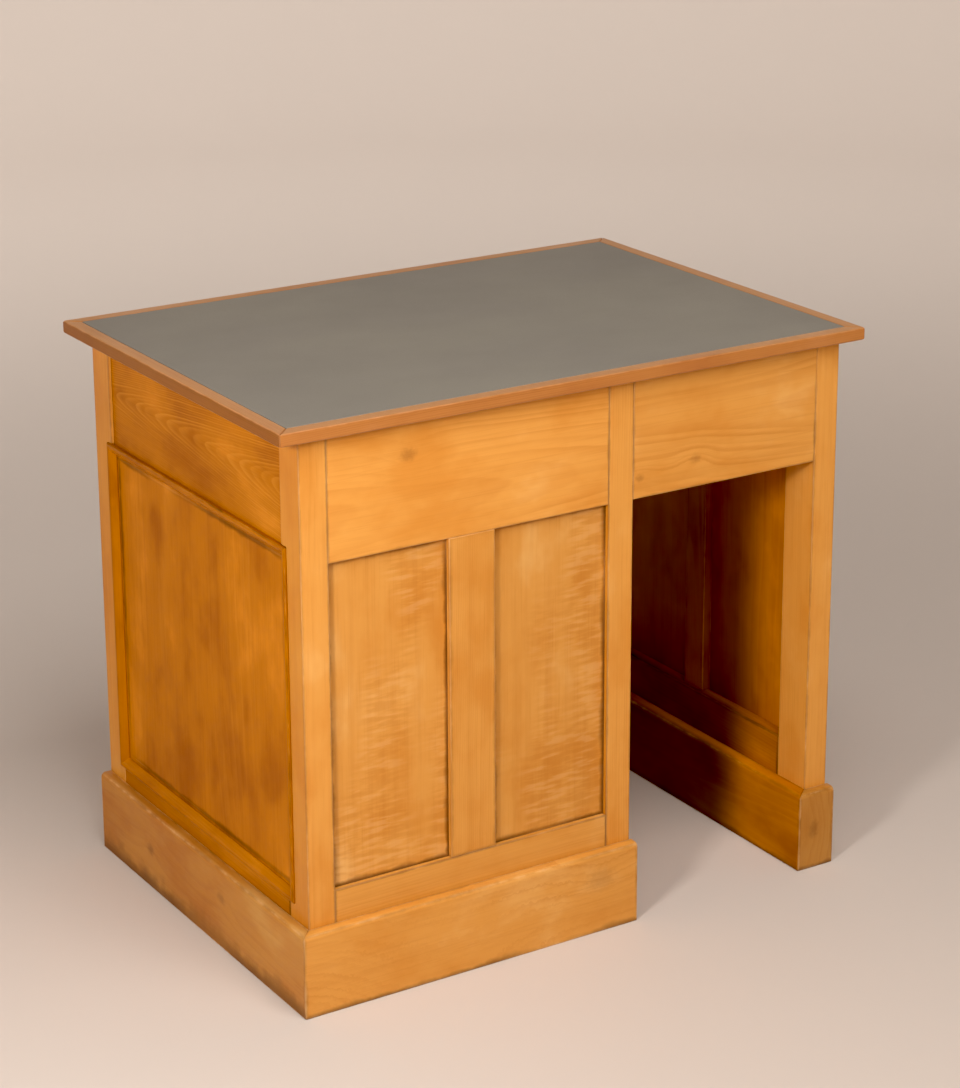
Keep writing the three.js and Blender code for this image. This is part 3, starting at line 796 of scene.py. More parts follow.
@dataclass(frozen=True)
class LinoleumFinish:
    """Old desk linoleum: flat, matt, faintly clouded and rubbed.

    Attributes:
        base: Its colour.
        cloud: Colour of its clouds and of the rubbed streaks along it.
        speck: Colour of its fine specks.
        roughness: Its mean roughness.
    """

    base: Colour = shade("7F7A71")
    cloud: Colour = shade("858075")
    speck: Colour = shade("6B665A")
    roughness: float = 0.5

    def material(self) -> bpy.types.Material:
        """Makes the linoleum's material.

        Returns:
            The material.
        """
        material = bpy.data.materials.new("linoleum")
        material.use_nodes = True
        material.diffuse_color = self.base
        g = Graph(material.node_tree)
        place = g.node("ShaderNodeTexCoord").outputs["Object"]
        clouds = g.step(g.noise(place, (3.1, 4.3, 3.0), 3.0), 0.35, 0.7)
        colour = g.mix(clouds, self.base, self.cloud)
        specks = g.step(g.noise(place, (640.0, 640.0, 640.0), 1.0), 0.55, 0.8)
        colour = g.mix(g.math("MULTIPLY", specks, 0.35), colour, self.speck)
        rubs = g.step(g.noise(place, (2.4, 130.0, 1.0), 2.0), 0.62, 0.8)
        colour = g.mix(g.math("MULTIPLY", rubs, 0.16), colour, self.cloud)
        sheen = g.span(g.noise(place, (7.0, 9.0, 7.0), 3.0), self.roughness - 0.06, self.roughness + 0.1)
        tooth = g.noise(place, (900.0, 900.0, 900.0), 2.0)
        bump = g.node("ShaderNodeBump", {"Strength": 0.12, "Distance": 0.0002, "Height": tooth})
        shader = material.node_tree.nodes["Principled BSDF"]
        links = material.node_tree.links
        links.new(colour, shader.inputs["Base Color"])
        links.new(sheen, shader.inputs["Roughness"])
        links.new(bump.outputs[0], shader.inputs["Normal"])
        shader.inputs["Specular IOR Level"].default_value = 0.4
        return material


@dataclass(frozen=True)
class BrassFinish:
    """Aged brass: dulled, browned in patches, brushed along its length.

    Attributes:
        bright: Colour of the bare metal.
        brown: Colour of the tarnish.
        roughness: Its mean roughness.
    """

    bright: Colour = shade("B8924E")
    brown: Colour = shade("6E4F24")
    roughness: float = 0.32

    def material(self) -> bpy.types.Material:
        """Makes the brass material.

        Returns:
            The material, which all the hinges share.
        """
        material = bpy.data.materials.new("brass")
        material.use_nodes = True
        material.diffuse_color = self.bright
        g = Graph(material.node_tree)
        place = g.node("ShaderNodeTexCoord").outputs["Object"]
        tarnish = g.step(g.noise(place, (90.0, 90.0, 60.0), 4.0), 0.4, 0.7)
        colour = g.mix(g.math("MULTIPLY", tarnish, 0.7), self.bright, self.brown)
        brushed = g.noise(place, (1800.0, 1800.0, 40.0), 1.0)
        sheen = g.math("MULTIPLY_ADD", brushed, 0.12, self.roughness - 0.06)
        sheen = g.math("MULTIPLY_ADD", tarnish, 0.18, sheen)
        shader = material.node_tree.nodes["Principled BSDF"]
        material.node_tree.links.new(colour, shader.inputs["Base Color"])
        material.node_tree.links.new(sheen, shader.inputs["Roughness"])
        shader.inputs["Metallic"].default_value = 1.0
        return material


BRASS = BrassFinish().material()


# ------------------------------------------------------------------ shaping


def make_smoothing() -> bpy.types.NodeTree:
    """A geometry group that shades a board smooth but for its sharp corners.

    Returns:
        The node group, for a Nodes modifier.
    """
    tree = bpy.data.node_groups.new("Smooth shading", "GeometryNodeTree")
    tree.interface.new_socket("Geometry", in_out="INPUT", socket_type="NodeSocketGeometry")
    tree.interface.new_socket("Geometry", in_out="OUTPUT", socket_type="NodeSocketGeometry")
    start = tree.nodes.new("NodeGroupInput")
    end = tree.nodes.new("NodeGroupOutput")
    faces = tree.nodes.new("GeometryNodeSetShadeSmooth")
    edges = tree.nodes.new("GeometryNodeSetShadeSmooth")
    edges.domain = "EDGE"
    edges.inputs["Shade Smooth"].default_value = False
    angle = tree.nodes.new("GeometryNodeInputMeshEdgeAngle")
    sharp = tree.nodes.new("FunctionNodeCompare")
    sharp.operation = "GREATER_THAN"
    sharp.inputs[1].default_value = math.radians(48)
    tree.links.new(angle.outputs["Unsigned Angle"], sharp.inputs[0])
    tree.links.new(sharp.outputs[0], edges.inputs["Selection"])
    tree.links.new(start.outputs[0], faces.inputs["Geometry"])
    tree.links.new(faces.outputs[0], edges.inputs["Geometry"])
    tree.links.new(edges.outputs[0], end.inputs[0])
    return tree


SMOOTHING = make_smoothing()


def ease(piece: bpy.types.Object, width: float, segments: int = 3) -> None:
    """Eases a piece's arrises and shades it smooth, by modifiers alone.

    The CAD's triangles are welded and their flats joined first, so that only real edges round.

    Args:
        piece: The piece to ease.
        width: Width of the rounding in metres.
        segments: Steps in the rounding.
    """
    weld = piece.modifiers.new("Weld", "WELD")
    weld.merge_threshold = 1e-5
    flats = piece.modifiers.new("Flats", "DECIMATE")
    flats.decimate_type = "DISSOLVE"
    flats.angle_limit = math.radians(0.5)
    rounding = piece.modifiers.new("Arrises", "BEVEL")
    rounding.width = width
    rounding.segments = segments
    rounding.limit_method = "ANGLE"
    rounding.angle_limit = math.radians(40)
    smoothing = piece.modifiers.new("Smooth", "NODES")
    smoothing.node_group = SMOOTHING
    normals = piece.modifiers.new("Normals", "WEIGHTED_NORMAL")
    normals.keep_sharp = True


def paint(piece: bpy.types.Object, material: bpy.types.Material) -> None:
    """Gives a piece its one material."""
    piece.data.materials.clear()
    piece.data.materials.append(material)


def dress_board(name: str, finish: WoodFinish, cut: Cut, easing: float = 0.0012) -> None:
    """Eases a CAD board and gives it its own cut of wood.

    Args:
        name: The CAD node.
        finish: Its finish.
        cut: How it was sawn.
        easing: Width of its rounded arrises, in metres.
    """
    low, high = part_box(name)
    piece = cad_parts[name]
    paint(piece, finish.material(name, low, high, cut))
    ease(piece, easing)
    log.info("%s: %s", name, finish.name)


def new_piece(name: str, mesh: bmesh.types.BMesh, body: str) -> bpy.types.Object:
    """Turns a finished mesh into a piece that rides on a body.

    Args:
        name: The piece's name.
        mesh: Its mesh, which is freed.
        body: The CAD body it moves with.

    Returns:
        The new object.
    """
    data = bpy.data.meshes.new(name)
    mesh.to_mesh(data)
    mesh.free()
    piece = bpy.data.objects.new(name, data)
    bpy.context.scene.collection.objects.link(piece)
    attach(piece, body)
    log.info("%s: made for body %s", name, body)
    return piece


def box_mesh(low: Vector, high: Vector) -> bmesh.types.BMesh:
    """A closed box between two corners.

    Args:
        low: Its lowest corner.
        high: Its highest corner.

    Returns:
        The mesh.
    """
    mesh = bmesh.new()
    bmesh.ops.create_cube(mesh, size=1.0)
    bmesh.ops.scale(mesh, vec=high - low, verts=mesh.verts)
    bmesh.ops.translate(mesh, vec=(low + high) / 2, verts=mesh.verts)
    return mesh


def turned_rings(
    mesh: bmesh.types.BMesh, profile: list[tuple[float, float]], steps: int, axis: Along
) -> list[list[bmesh.types.BMVert]]:
    """Turns an outline about an axis and skins the rings that it makes.

    Args:
        mesh: The mesh that they are added to.
        profile: The outline's points of (radius, height), in metres, none of them on the axis.
        steps: Faces round the axis.
        axis: The axis, Y or Z.

    Returns:
        The rings of corners, from the first point to the last.
    """
    rings = []
    for radius, height in profile:
        ring = []
        for step in range(steps):
            turn = math.tau * step / steps
            x, other = radius * math.cos(turn), radius * math.sin(turn)
            ring.append(mesh.verts.new((x, other, height) if axis is Along.Z else (x, height, other)))
        rings.append(ring)
    for inner, outer in zip(rings, rings[1:]):
        for step in range(steps):
            after = (step + 1) % steps
            mesh.faces.new((inner[step], outer[step], outer[after], inner[after]))
    return rings


def close_ring(mesh: bmesh.types.BMesh, ring: list[bmesh.types.BMVert], middle: Triple) -> None:
    """Closes a ring with a fan of faces from its middle.

    Args:
        mesh: The mesh that they are added to.
        ring: The ring of corners.
        middle: The point that the fan spreads from.
    """
    centre = mesh.verts.new(middle)
    for corner, after in zip(ring, ring[1:] + ring[:1]):
        mesh.faces.new((centre, corner, after))


def turned_mesh(profile: list[tuple[float, float]], steps: int) -> bmesh.types.BMesh:
    """A closed turned shape about +Y, shaded smooth.

    Args:
        profile: Points of (radius, height) in metres, which start and end on the axis.
        steps: Faces round the axis.

    Returns:
        The mesh.
    """
    mesh = bmesh.new()
    rings = turned_rings(mesh, profile[1:-1], steps, Along.Y)
    close_ring(mesh, rings[0], (0.0, profile[0][1], 0.0))
    close_ring(mesh, rings[-1], (0.0, profile[-1][1], 0.0))
    bmesh.ops.recalc_face_normals(mesh, faces=mesh.faces)
    for face in mesh.faces:
        face.smooth = True
    return mesh


# ------------------------------------------------------------------ sub-assemblies


@dataclass
class WritingTop:
    """The core board, the linoleum and the mitred lipping.

    Attributes:
        lipping_easing: Width of the lipping's rounded arrises, in metres.
        edge_painted_shade: Painted shade on the lipping's faces that look to the desk's ends.
        top_face_painted_reflection: Painted reflection on its top faces, which lightens and pales them.
    """

    lipping_easing: float = 0.0022
    edge_painted_shade: Colour = (0.58, 0.5, 0.15, 1.0)
    top_face_painted_reflection: Colour = (1.1, 1.3, 1.75, 1.0)

    def dress(self) -> None:
        """Finishes every piece of the top."""
        dress_board("top_core", PLAIN_WOOD, Cut(Along.X, 1.0))
        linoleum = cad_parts["linoleum"]
        paint(linoleum, LinoleumFinish().material())
        ease(linoleum, 0.0006, 2)
        log.info("linoleum: laid")
        sides = {"class": Along.X, "teacher": Along.X, "left": Along.Y, "right": Along.Y}
        for number, (side, along) in enumerate(sides.items()):
            cut = Cut(
                along,
                11.0 + number * 3.7,
                pitch=0.0021,
                heart=(0.03, 0.05),
                run_out=0.012,
                rings=0.35,
                tone=0.94,
                # painted shade on the end faces, painted reflection on the top faces
                end_painted_shade=self.edge_painted_shade,
                top_painted_reflection=self.top_face_painted_reflection,
                grime_and_shade=0.2,
                grime_and_shade_width=0.003,
            )
            dress_board(f"lipping_{side}", CHERRY, cut, self.lipping_easing)


@dataclass
class Posts:
    """The six posts.

    Attributes:
        seeds: The seed of each post's cut.
        end_painted_shade: Painted shade on their faces that look to the desk's ends.
        lighter_painted_shades: A lighter painted shade there, for the posts whose faces there get more
            light.
        knots: The knots of the posts that have any.
    """

    seeds: dict[str, float] = field(
        default_factory=lambda: {
            "class_left": 21.0,
            "class_middle": 24.3,
            "class_right": 27.9,
            "teacher_left": 31.2,
            "teacher_middle": 35.5,
            "teacher_right": 38.1,
        }
    )
    end_painted_shade: Colour = (0.84, 0.76, 0.46, 1.0)
    lighter_painted_shades: dict[str, Colour] = field(default_factory=lambda: {"class_right": (1.0, 0.96, 0.9, 1.0)})
    knots: dict[str, tuple[Knot, ...]] = field(
        default_factory=lambda: {"class_middle": (Knot((0.075, 0.012, 0.019), 0.0022),)}
    )

    def dress(self) -> None:
        """Finishes the posts, straight-grained and a little lighter than the boards."""
        for name, seed in self.seeds.items():
            cut = Cut(
                Along.Z,
                seed,
                pitch=0.0032,
                heart=(0.09, 0.03),
                run_out=0.008,
                rings=0.28,
                tone=0.94,
                # painted shade on the faces that look to the desk's ends
                end_painted_shade=self.lighter_painted_shades.get(name, self.end_painted_shade),
                grime_and_shade=0.5,
                grime_and_shade_width=0.0035,
                knots=self.knots.get(name, ()),
            )
            dress_board(f"post_{name}", PINE, cut, 0.0014)


@dataclass
class ClassSide:
    """The pedestal's panelled side and the frieze boards that face the class.

    Attributes:
        groove: How deep the panels sit in their grooves, in metres.
    """

    groove: float = 0.008

    def dress(self) -> None:
        """Finishes the friezes, the rail, the muntin and the two figured panels."""
        pedestal = Cut(
            Along.X,
            43.0,
            pitch=0.0065,
            heart=(-0.03, 0.07),
            run_out=0.035,
            wander=0.012,
            rings=0.4,
            tone=0.97,
            grime_and_shade=0.5,
            grime_and_shade_width=0.004,
            knots=(Knot((-0.091, 0.037, -0.011), 0.0085, 0.38),),
        )
        dress_board("frieze_pedestal", PINE, pedestal)
        knee = Cut(
            Along.X,
            47.7,
            pitch=0.007,
            heart=(0.02, 0.06),
            run_out=-0.03,
            wander=0.014,
            rings=0.4,
            tone=0.91,
            grime_and_shade=0.5,
            grime_and_shade_width=0.004,
            knots=(
                Knot((-0.049, -0.043, -0.011), 0.0065, 0.35),
                Knot((-0.137, -0.054, -0.011), 0.005, 0.35),
            ),
        )
        dress_board("frieze_knee", PINE, knee)
        rail = Cut(Along.X, 51.4, heart=(0.2, 0.05), rings=0.35, tone=0.87, grime_and_shade=0.6, grime_and_shade_width=0.004)
        dress_board("class_bottom_rail", PINE, rail)
        muntin = Cut(Along.Z, 53.9, pitch=0.003, heart=(0.12, 0.03), rings=0.25, tone=0.88)
        dress_board("class_muntin", PINE, muntin)
        for name, seed, tone in (("left", 57.1, 0.87), ("right", 61.8, 0.83)):
            cut = Cut(
                Along.Z,
                seed,
                pitch=0.011,
                heart=(0.05, 0.12),
                run_out=0.05,
                wander=0.02,
                rings=0.07,
                ripple=0.2,
                cloud=1.15,
                tone=tone,
                grime_and_shade=0.8,
                grime_and_shade_width=0.009,
                inset=(self.groove, 0.0, self.groove),
            )
            dress_board(f"class_panel_{name}", PINE, cut)


@dataclass
class EndFrame:
    """One end of the desk: frieze, bottom rail, panel and the bead round it.

    Attributes:
        side: "left" or "right".
        seed: Start of its boards' seeds.
        panel_kneehole_shade: Painted shade on its panel's face towards the kneehole.
        rail_kneehole_shade: The same for its bottom rail.
        groove: How deep the panel sits in its grooves, in metres.
    """

    side: str
    seed: float
    panel_kneehole_shade: Triple = UNSHADED
    rail_kneehole_shade: Triple = UNSHADED
    groove: float = 0.008

    def dress(self) -> None:
        """Finishes the end's boards and its moulding."""
        frieze = Cut(
            Along.Y,
            self.seed,
            pitch=0.0026,
            heart=(0.005, 0.012),
            run_out=0.09,
            wander=0.006,
            rings=0.7,
            tone=0.95,
            grime_and_shade=0.6,
            grime_and_shade_width=0.006,
        )
        dress_board(f"{self.side}_frieze", END_PINE, frieze)
        rail = Cut(
            Along.Y,
            self.seed + 3,
            heart=(0.15, 0.04),
            rings=0.3,
            tone=0.85,
            inner=self.rail_kneehole_shade,
            grime_and_shade=0.75,
            grime_and_shade_width=0.006,
        )
        dress_board(f"{self.side}_bottom_rail", END_PINE, rail)
        panel = Cut(
            Along.Z,
            self.seed + 7,
            pitch=0.012,
            heart=(0.1, 0.16),
            run_out=0.03,
            wander=0.03,
            rings=0.2,
            inner=self.panel_kneehole_shade,
            grime_and_shade=0.65,
            grime_and_shade_width=0.007,
            inset=(0.0, self.groove * 2, self.groove * 2),
        )
        dress_board(f"{self.side}_panel", END_PINE, panel)
        bead = Cut(
            Along.FRAME,
            self.seed + 11,
            pitch=0.003,
            rings=0.25,
            tone=0.92,
            grime_and_shade=0.75,
            grime_and_shade_width=0.003,
        )
        dress_board(f"{self.side}_bead", END_PINE, bead, 0.0006)


@dataclass
class KneeWall:
    """The pedestal's wall towards the kneehole, and the batten behind the right end's panel.

    Attributes:
        batten_shade: Tone of the batten, darkened all over by the kneehole's painted shade.
    """

    batten_shade: float = 0.55

    def dress(self) -> None:
        """Finishes the wall's boards."""
        panel = Cut(Along.Z, 91.0, pitch=0.009, heart=(0.08, 0.1), rings=0.35, grime_and_shade=0.6, grime_and_shade_width=0.012)
        dress_board("knee_wall_panel", END_PINE, panel)
        dress_board("knee_wall_bottom_rail", END_PINE, Cut(Along.Y, 94.0, floor_dirt=0.03))
        # painted shade of the kneehole darkens the whole batten
        batten = Cut(Along.Z, 97.0, pitch=0.003, rings=0.3, tone=self.batten_shade)
        dress_board("right_batten", END_PINE, batten)


@dataclass(frozen=True)
class PlinthBoard:
    """One board round the foot.

    Attributes:
        node: The CAD node.
        finish: Its finish.
        along: The axis of its grain.
        heart: Where the tree's heart lies across and through it, in metres.
        run_out: How far its rings climb, in metres a metre.
        tone: Lighter than the finish above 1, darker below.
        cloud: How strong its patches are.
        inner: Painted shade on its face towards the kneehole.
        end_painted_shade: Painted shade on its faces that look to the desk's ends.
        splash: How high the floor's dirt has climbed, against the other boards.
        knots: Its knots.
    """

    node: str
    finish: WoodFinish
    along: Along
    heart: tuple[float, float]
    run_out: float
    tone: float
    cloud: float = 1.0
    inner: Triple = UNSHADED
    end_painted_shade: Colour | None = None
    splash: float = 1.0
    knots: tuple[Knot, ...] = ()


@dataclass
class Plinth:
    """The plinth boards, the right end's cap and the kick board under the door.

    Attributes:
        floor_dirt: How far dirt climbs from the floor, in metres.
        seed: Start of the boards' seeds.
        seed_gap: From one board's seed to the next.
    """

    floor_dirt: float = 0.011
    seed: float = 101.0
    seed_gap: float = 4.3

    def boards(self) -> tuple[PlinthBoard, ...]:
        """Says how each board was sawn and worn.

        Returns:
            The boards, in the order of their seeds.
        """
        class_knots = (
            Knot((-0.01, -0.035, -0.008), 0.026, 0.0),
            Knot((-0.115, -0.04, -0.008), 0.022, 0.0),
            Knot((0.193, 0.02, -0.008), 0.016, 0.22),
        )
        left_knots = (
            Knot((0.141, 0.001, -0.008), 0.008, 0.45),
            Knot((-0.07, 0.016, -0.008), 0.008, 0.35),
        )
        left = PlinthBoard(
            "plinth_left",
            PINE,
            Along.Y,
            (0.03, 0.03),
            0.05,
            0.64,
            cloud=1.5,
            # painted shade on the faces that look to the desk's ends
            end_painted_shade=(0.97, 0.9, 0.64, 1.0),
            splash=3.2,
            knots=left_knots,
        )
        # painted shade of the kneehole on its inner face
        right = PlinthBoard(
            "plinth_right_inner", END_PINE, Along.Y, (-0.02, 0.03), 0.04, 1.0, inner=(0.9, 0.4, 0.28)
        )
        cap_knots = (Knot((0.0, -0.004, -0.008), 0.009, 0.4),)
        return (
            PlinthBoard("plinth_class", PINE, Along.X, (-0.062, 0.022), 0.045, 0.88, knots=class_knots),
            left,
            right,
            PlinthBoard("plinth_right_cap", PINE, Along.Z, (0.04, 0.03), 0.02, 0.64, knots=cap_knots),
            PlinthBoard("kick_board", PINE, Along.X, (0.02, 0.04), 0.02, 0.85),
        )

    def dress(self) -> None:
        """Finishes the plinth."""
        for number, board in enumerate(self.boards()):
            cut = Cut(
                board.along,
                self.seed + number * self.seed_gap,
                pitch=0.0085,
                heart=board.heart,
                run_out=board.run_out,
                wander=0.012,
                rings=0.32,
                cloud=board.cloud,
                rub=1.8,
                tone=board.tone,
                inner=board.inner,
                end_painted_shade=board.end_painted_shade,
                grime_and_shade=0.45,
                grime_and_shade_width=0.006,
                floor_dirt=self.floor_dirt * board.splash,
                knots=board.knots,
            )
            dress_board(board.node, board.finish, cut, 0.0014)


@dataclass
class Inside:
    """The plain boards inside, with the guides and cleats that carry the drawers and shelf.

    Attributes:
        guide: Height of a drawer guide, in metres.
        cleat: Height and thickness of a shelf cleat.
        gap: Room between a guide and what moves or stands next to it.
        shelf_ends: How far the cleats stop short of the shelf's back and front edges.
    """

    guide: float = 0.014
    cleat: float = 0.018
    gap: float = 0.0015
    shelf_ends: tuple[float, float] = (0.06, 0.03)

    def build(self) -> None:
        """Adds the drawer guides and the shelf cleats."""
        _, floor_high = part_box("dust_board")
        post_low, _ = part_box("post_teacher_left")
        left_low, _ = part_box("pedestal_drawer_side_left")
        _, right_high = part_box("pedestal_drawer_side_right")
        _, wall_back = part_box("left_frieze")
        wall_low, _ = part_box("knee_wall_panel")
        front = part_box("post_class_middle")[1].y + self.gap
        back = post_low.y - self.gap
        lift = self.gap / 10
        spans = {
            "drawer_guide_left": (wall_back.x + lift, left_low.x - self.gap),
            "drawer_guide_right": (right_high.x + self.gap, wall_low.x - lift),
        }
        for number, (name, (near, far)) in enumerate(spans.items()):
            low = Vector((near, front, floor_high.z + lift))
            high = Vector((far, back, floor_high.z + self.guide))
            self._strip(name, low, high, 121.0 + number)
        shelf_low, shelf_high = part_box("cupboard_shelf")
        _, panel_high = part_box("left_panel")
        start, end = shelf_low.y + self.shelf_ends[0], shelf_high.y - self.shelf_ends[1]
        walls = {
            "shelf_cleat_left": (panel_high.x + lift, panel_high.x + self.cleat),
            "shelf_cleat_right": (wall_low.x - self.cleat, wall_low.x - lift),
        }
        for number, (name, (near, far)) in enumerate(walls.items()):
            top = shelf_low.z - lift
            low = Vector((near, start, top - self.cleat))
            self._strip(name, low, Vector((far, end, top)), 125.0 + number)

    def dress(self) -> None:
        """Finishes the CAD boards inside."""
        for number, name in enumerate(("cupboard_floor", "cupboard_shelf", "dust_board", "knee_board")):
            cut = Cut(Along.X, 131.0 + number * 2.9, pitch=0.007, heart=(0.1, 0.09), rings=0.4)
            dress_board(name, PLAIN_WOOD, cut)

    def _strip(self, name: str, low: Vector, high: Vector, seed: float) -> None:
        """Adds one strip of plain wood along Y.

        Args:
            name: The strip's name.
            low: Its lowest corner.
            high: Its highest corner.
            seed: Picks its own grain.
        """
        piece = new_piece(name, box_mesh(low, high), "carcass")
        cut = Cut(Along.Y, seed, pitch=0.004, rings=0.4)
        paint(piece, PLAIN_WOOD.material(name, low, high, cut))
        ease(piece, 0.001, 2)


@dataclass
class TurnedKnob:
    """A turned hardwood knob that stands on the teacher's side.

    Attributes:
        node: The CAD knob that it stands for.
        body: The body that it moves with.
        seed: Picks its own grain.
        steps: Faces round it.
    """

    node: str
    body: str
    seed: float
    steps: int = 72

    def profile(self, radius: float, height: float) -> list[tuple[float, float]]:
        """The knob's outline: a foot, a hollow neck and a domed head.

        Args:
            radius: The head's radius.
            height: The knob's height.

        Returns:
            Points of (radius, height) from the foot to the crown.
        """
        foot, neck, collar = 0.68 * radius, 0.47 * radius, 0.72 * radius
        neck_low, neck_high, widest = 0.0026, 0.52 * height, 0.7 * height
        points = [(0.0, 0.0), (foot - 0.0006, 0.0), (foot, 0.0006), (foot, 0.0013), (foot - 0.0004, 0.002)]
        for step in range(9):
            share = step / 8
            edge = (foot - 0.0008) * (1 - share) + collar * share
            hollow = (edge - neck) * math.sin(math.pi * share)
            points.append((edge - hollow, neck_low + (neck_high - neck_low) * share))
        for step in range(1, 7):
            turn = math.pi / 2 * step / 6
            reach = collar + (radius - collar) * math.sin(turn)
            points.append((reach, widest - (widest - neck_high) * math.cos(turn)))
        for step in range(1, 12):
            turn = math.pi / 2 * step / 12
            points.append((radius * math.cos(turn), widest + (height - widest) * math.sin(turn)))
        points.append((0.0, height))
        return points

    def build(self) -> None:
        """Turns the knob in place of the CAD one and finishes it."""
        low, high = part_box(self.node)
        radius = (high.x - low.x) / 2
        mesh = turned_mesh(self.profile(radius, high.y - low.y), self.steps)
        centre = Vector(((low.x + high.x) / 2, low.y, (low.z + high.z) / 2))
        bmesh.ops.translate(mesh, vec=centre, verts=mesh.verts)
        piece = new_piece(f"{self.node}_turned", mesh, self.body)
        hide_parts(self.node)
        cut = Cut(Along.Y, self.seed, pitch=0.0018, heart=(0.01, 0.02), rings=0.5, grime_and_shade=0.0)
        paint(piece, TURNED.material(self.node, low, high, cut))


@dataclass
class Drawer:
    """A drawer: front, sides, back, bottom and knob.

    Attributes:
        name: The body's name, which its nodes start with.
        seed: Start of its boards' seeds.
    """

    name: str
    seed: float

    def dress(self) -> None:
        """Finishes the drawer and turns its knob."""
        front = Cut(
            Along.X,
            self.seed,
            pitch=0.0062,
            heart=(0.015, 0.05),
            run_out=0.05,
            wander=0.012,
            rings=0.55,
            grime_and_shade=0.45,
            grime_and_shade_width=0.005,
        )
        dress_board(f"{self.name}_front", PINE, front, 0.0016)
        boards = {"side_left": Along.Y, "side_right": Along.Y, "back": Along.X, "bottom": Along.X}
        for number, (part, along) in enumerate(boards.items()):
            cut = Cut(along, self.seed + 5 + number * 2.1, pitch=0.005, heart=(0.06, 0.05), rings=0.4)
            dress_board(f"{self.name}_{part}", PLAIN_WOOD, cut, 0.0008)
        TurnedKnob(f"{self.name}_knob", self.name, self.seed + 17).build()


@dataclass
class CupboardDoor:
    """The framed door with its knob and hinges.

    Attributes:
        body: The body that the door's pieces move with.
        groove: How deep the panel sits in its grooves, in metres.
        screw: Radius of a hinge screw's head.
        screw_proud: How far a head stands out of its leaf.
        leaf_face: The leaf's open face, from the pin's axis.
        screw_row: Where the row of screws lies, as a share of the leaf's width.
        screw_spacing: Distance between screws, as a share of the leaf's height.
        screw_stagger: How far the middle screw and the outer ones lie off the row.
    """

    body: str = "cupboard_door"
    groove: float = 0.008
    screw: float = 0.0024
    screw_proud: float = 0.00025
    leaf_face: float = 0.0006
    screw_row: float = 0.38
    screw_spacing: float = 0.34
    screw_stagger: tuple[float, float] = (0.004, -0.002)

    def dress(self) -> None:
        """Finishes the door's frame, panel and knob."""
        for number, part in enumerate(("stile_hinge", "stile_knob")):
            cut = Cut(Along.Z, 171.0 + number * 3.3, pitch=0.0032, heart=(0.1, 0.03), grime_and_shade=0.4)
            dress_board(f"door_{part}", PINE, cut, 0.0014)
        for number, part in enumerate(("rail_top", "rail_bottom")):
            cut = Cut(Along.X, 177.0 + number * 3.1, pitch=0.0038, heart=(0.09, 0.04), grime_and_shade=0.4)
            dress_board(f"door_{part}", PINE, cut, 0.0014)
        panel = Cut(
            Along.Z,
            183.0,
            pitch=0.009,
            heart=(0.02, 0.06),
            run_out=0.06,
            wander=0.016,
            rings=0.45,
            ripple=0.2,
            grime_and_shade=0.65,
            grime_and_shade_width=0.011,
            inset=(self.groove, 0.0, self.groove),
        )
        dress_board("door_panel", PINE, panel)
        TurnedKnob("door_knob", self.body, 187.0).build()

    def hang(self) -> None:
        """Finishes the hinges and drives their screws."""
        for place in ("lower", "upper"):
            for leaf, body, facing in (("post", "carcass", 1), ("door", self.body, -1)):
                name = f"hinge_{place}_{leaf}_leaf"
                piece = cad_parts[name]
                paint(piece, BRASS)
                ease(piece, 0.0003, 2)
                self._screws(name, body, facing)

    def _screws(self, name: str, body: str, facing: int) -> None:
        """Drives three countersunk screws into one hinge leaf.

        Args:
            name: The leaf's CAD node.
            body: The body it moves with.
            facing: 1 when the leaf's open face looks along +X, and -1 when it looks along -X.
        """
        low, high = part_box(name)
        face = (low.x + high.x) / 2 - facing * self.leaf_face
        row = low.y + self.screw_row * (high.y - low.y)
        spacing = self.screw_spacing * (high.z - low.z)
        mesh = bmesh.new()
        for step in (-1, 0, 1):
            y = row + self.screw_stagger[abs(step)]
            centre = Vector((face, y, (low.z + high.z) / 2 + step * spacing))
            self._screw_head(mesh, centre, facing)
        piece = new_piece(f"{name}_screws", mesh, body)
        paint(piece, BRASS)

    def _screw_head(self, mesh: bmesh.types.BMesh, centre: Vector, facing: int) -> None:
        """Adds one slotted head: a low disc in two halves with the slot between them.

        Args:
            mesh: The mesh that it is added to.
            centre: The head's centre, on the leaf's face.
            facing: The side of X that it faces.
        """
        slot = 0.16 * self.screw
        steps = 12
        for half in (-1, 1):
            rim = []
            for step in range(steps + 1):
                turn = math.pi * step / steps
                y = self.screw * math.cos(turn)
                z = half * (slot + (self.screw - slot) * math.sin(turn))
                rim.append((y, z))
            outer = [mesh.verts.new(centre + Vector((facing * self.screw_proud, y, z))) for y, z in rim]
            inner = [mesh.verts.new(centre - Vector((facing * self.screw_proud, -y, -z))) for y, z in rim]
            made = [mesh.faces.new(outer), mesh.faces.new(list(reversed(inner)))]
            for number, (a, b) in enumerate(zip(outer, inner)):
                after = (number + 1) % len(rim)
                made.append(mesh.faces.new((a, b, inner[after], outer[after])))
            bmesh.ops.recalc_face_normals(mesh, faces=made)


# ------------------------------------------------------------------ studio


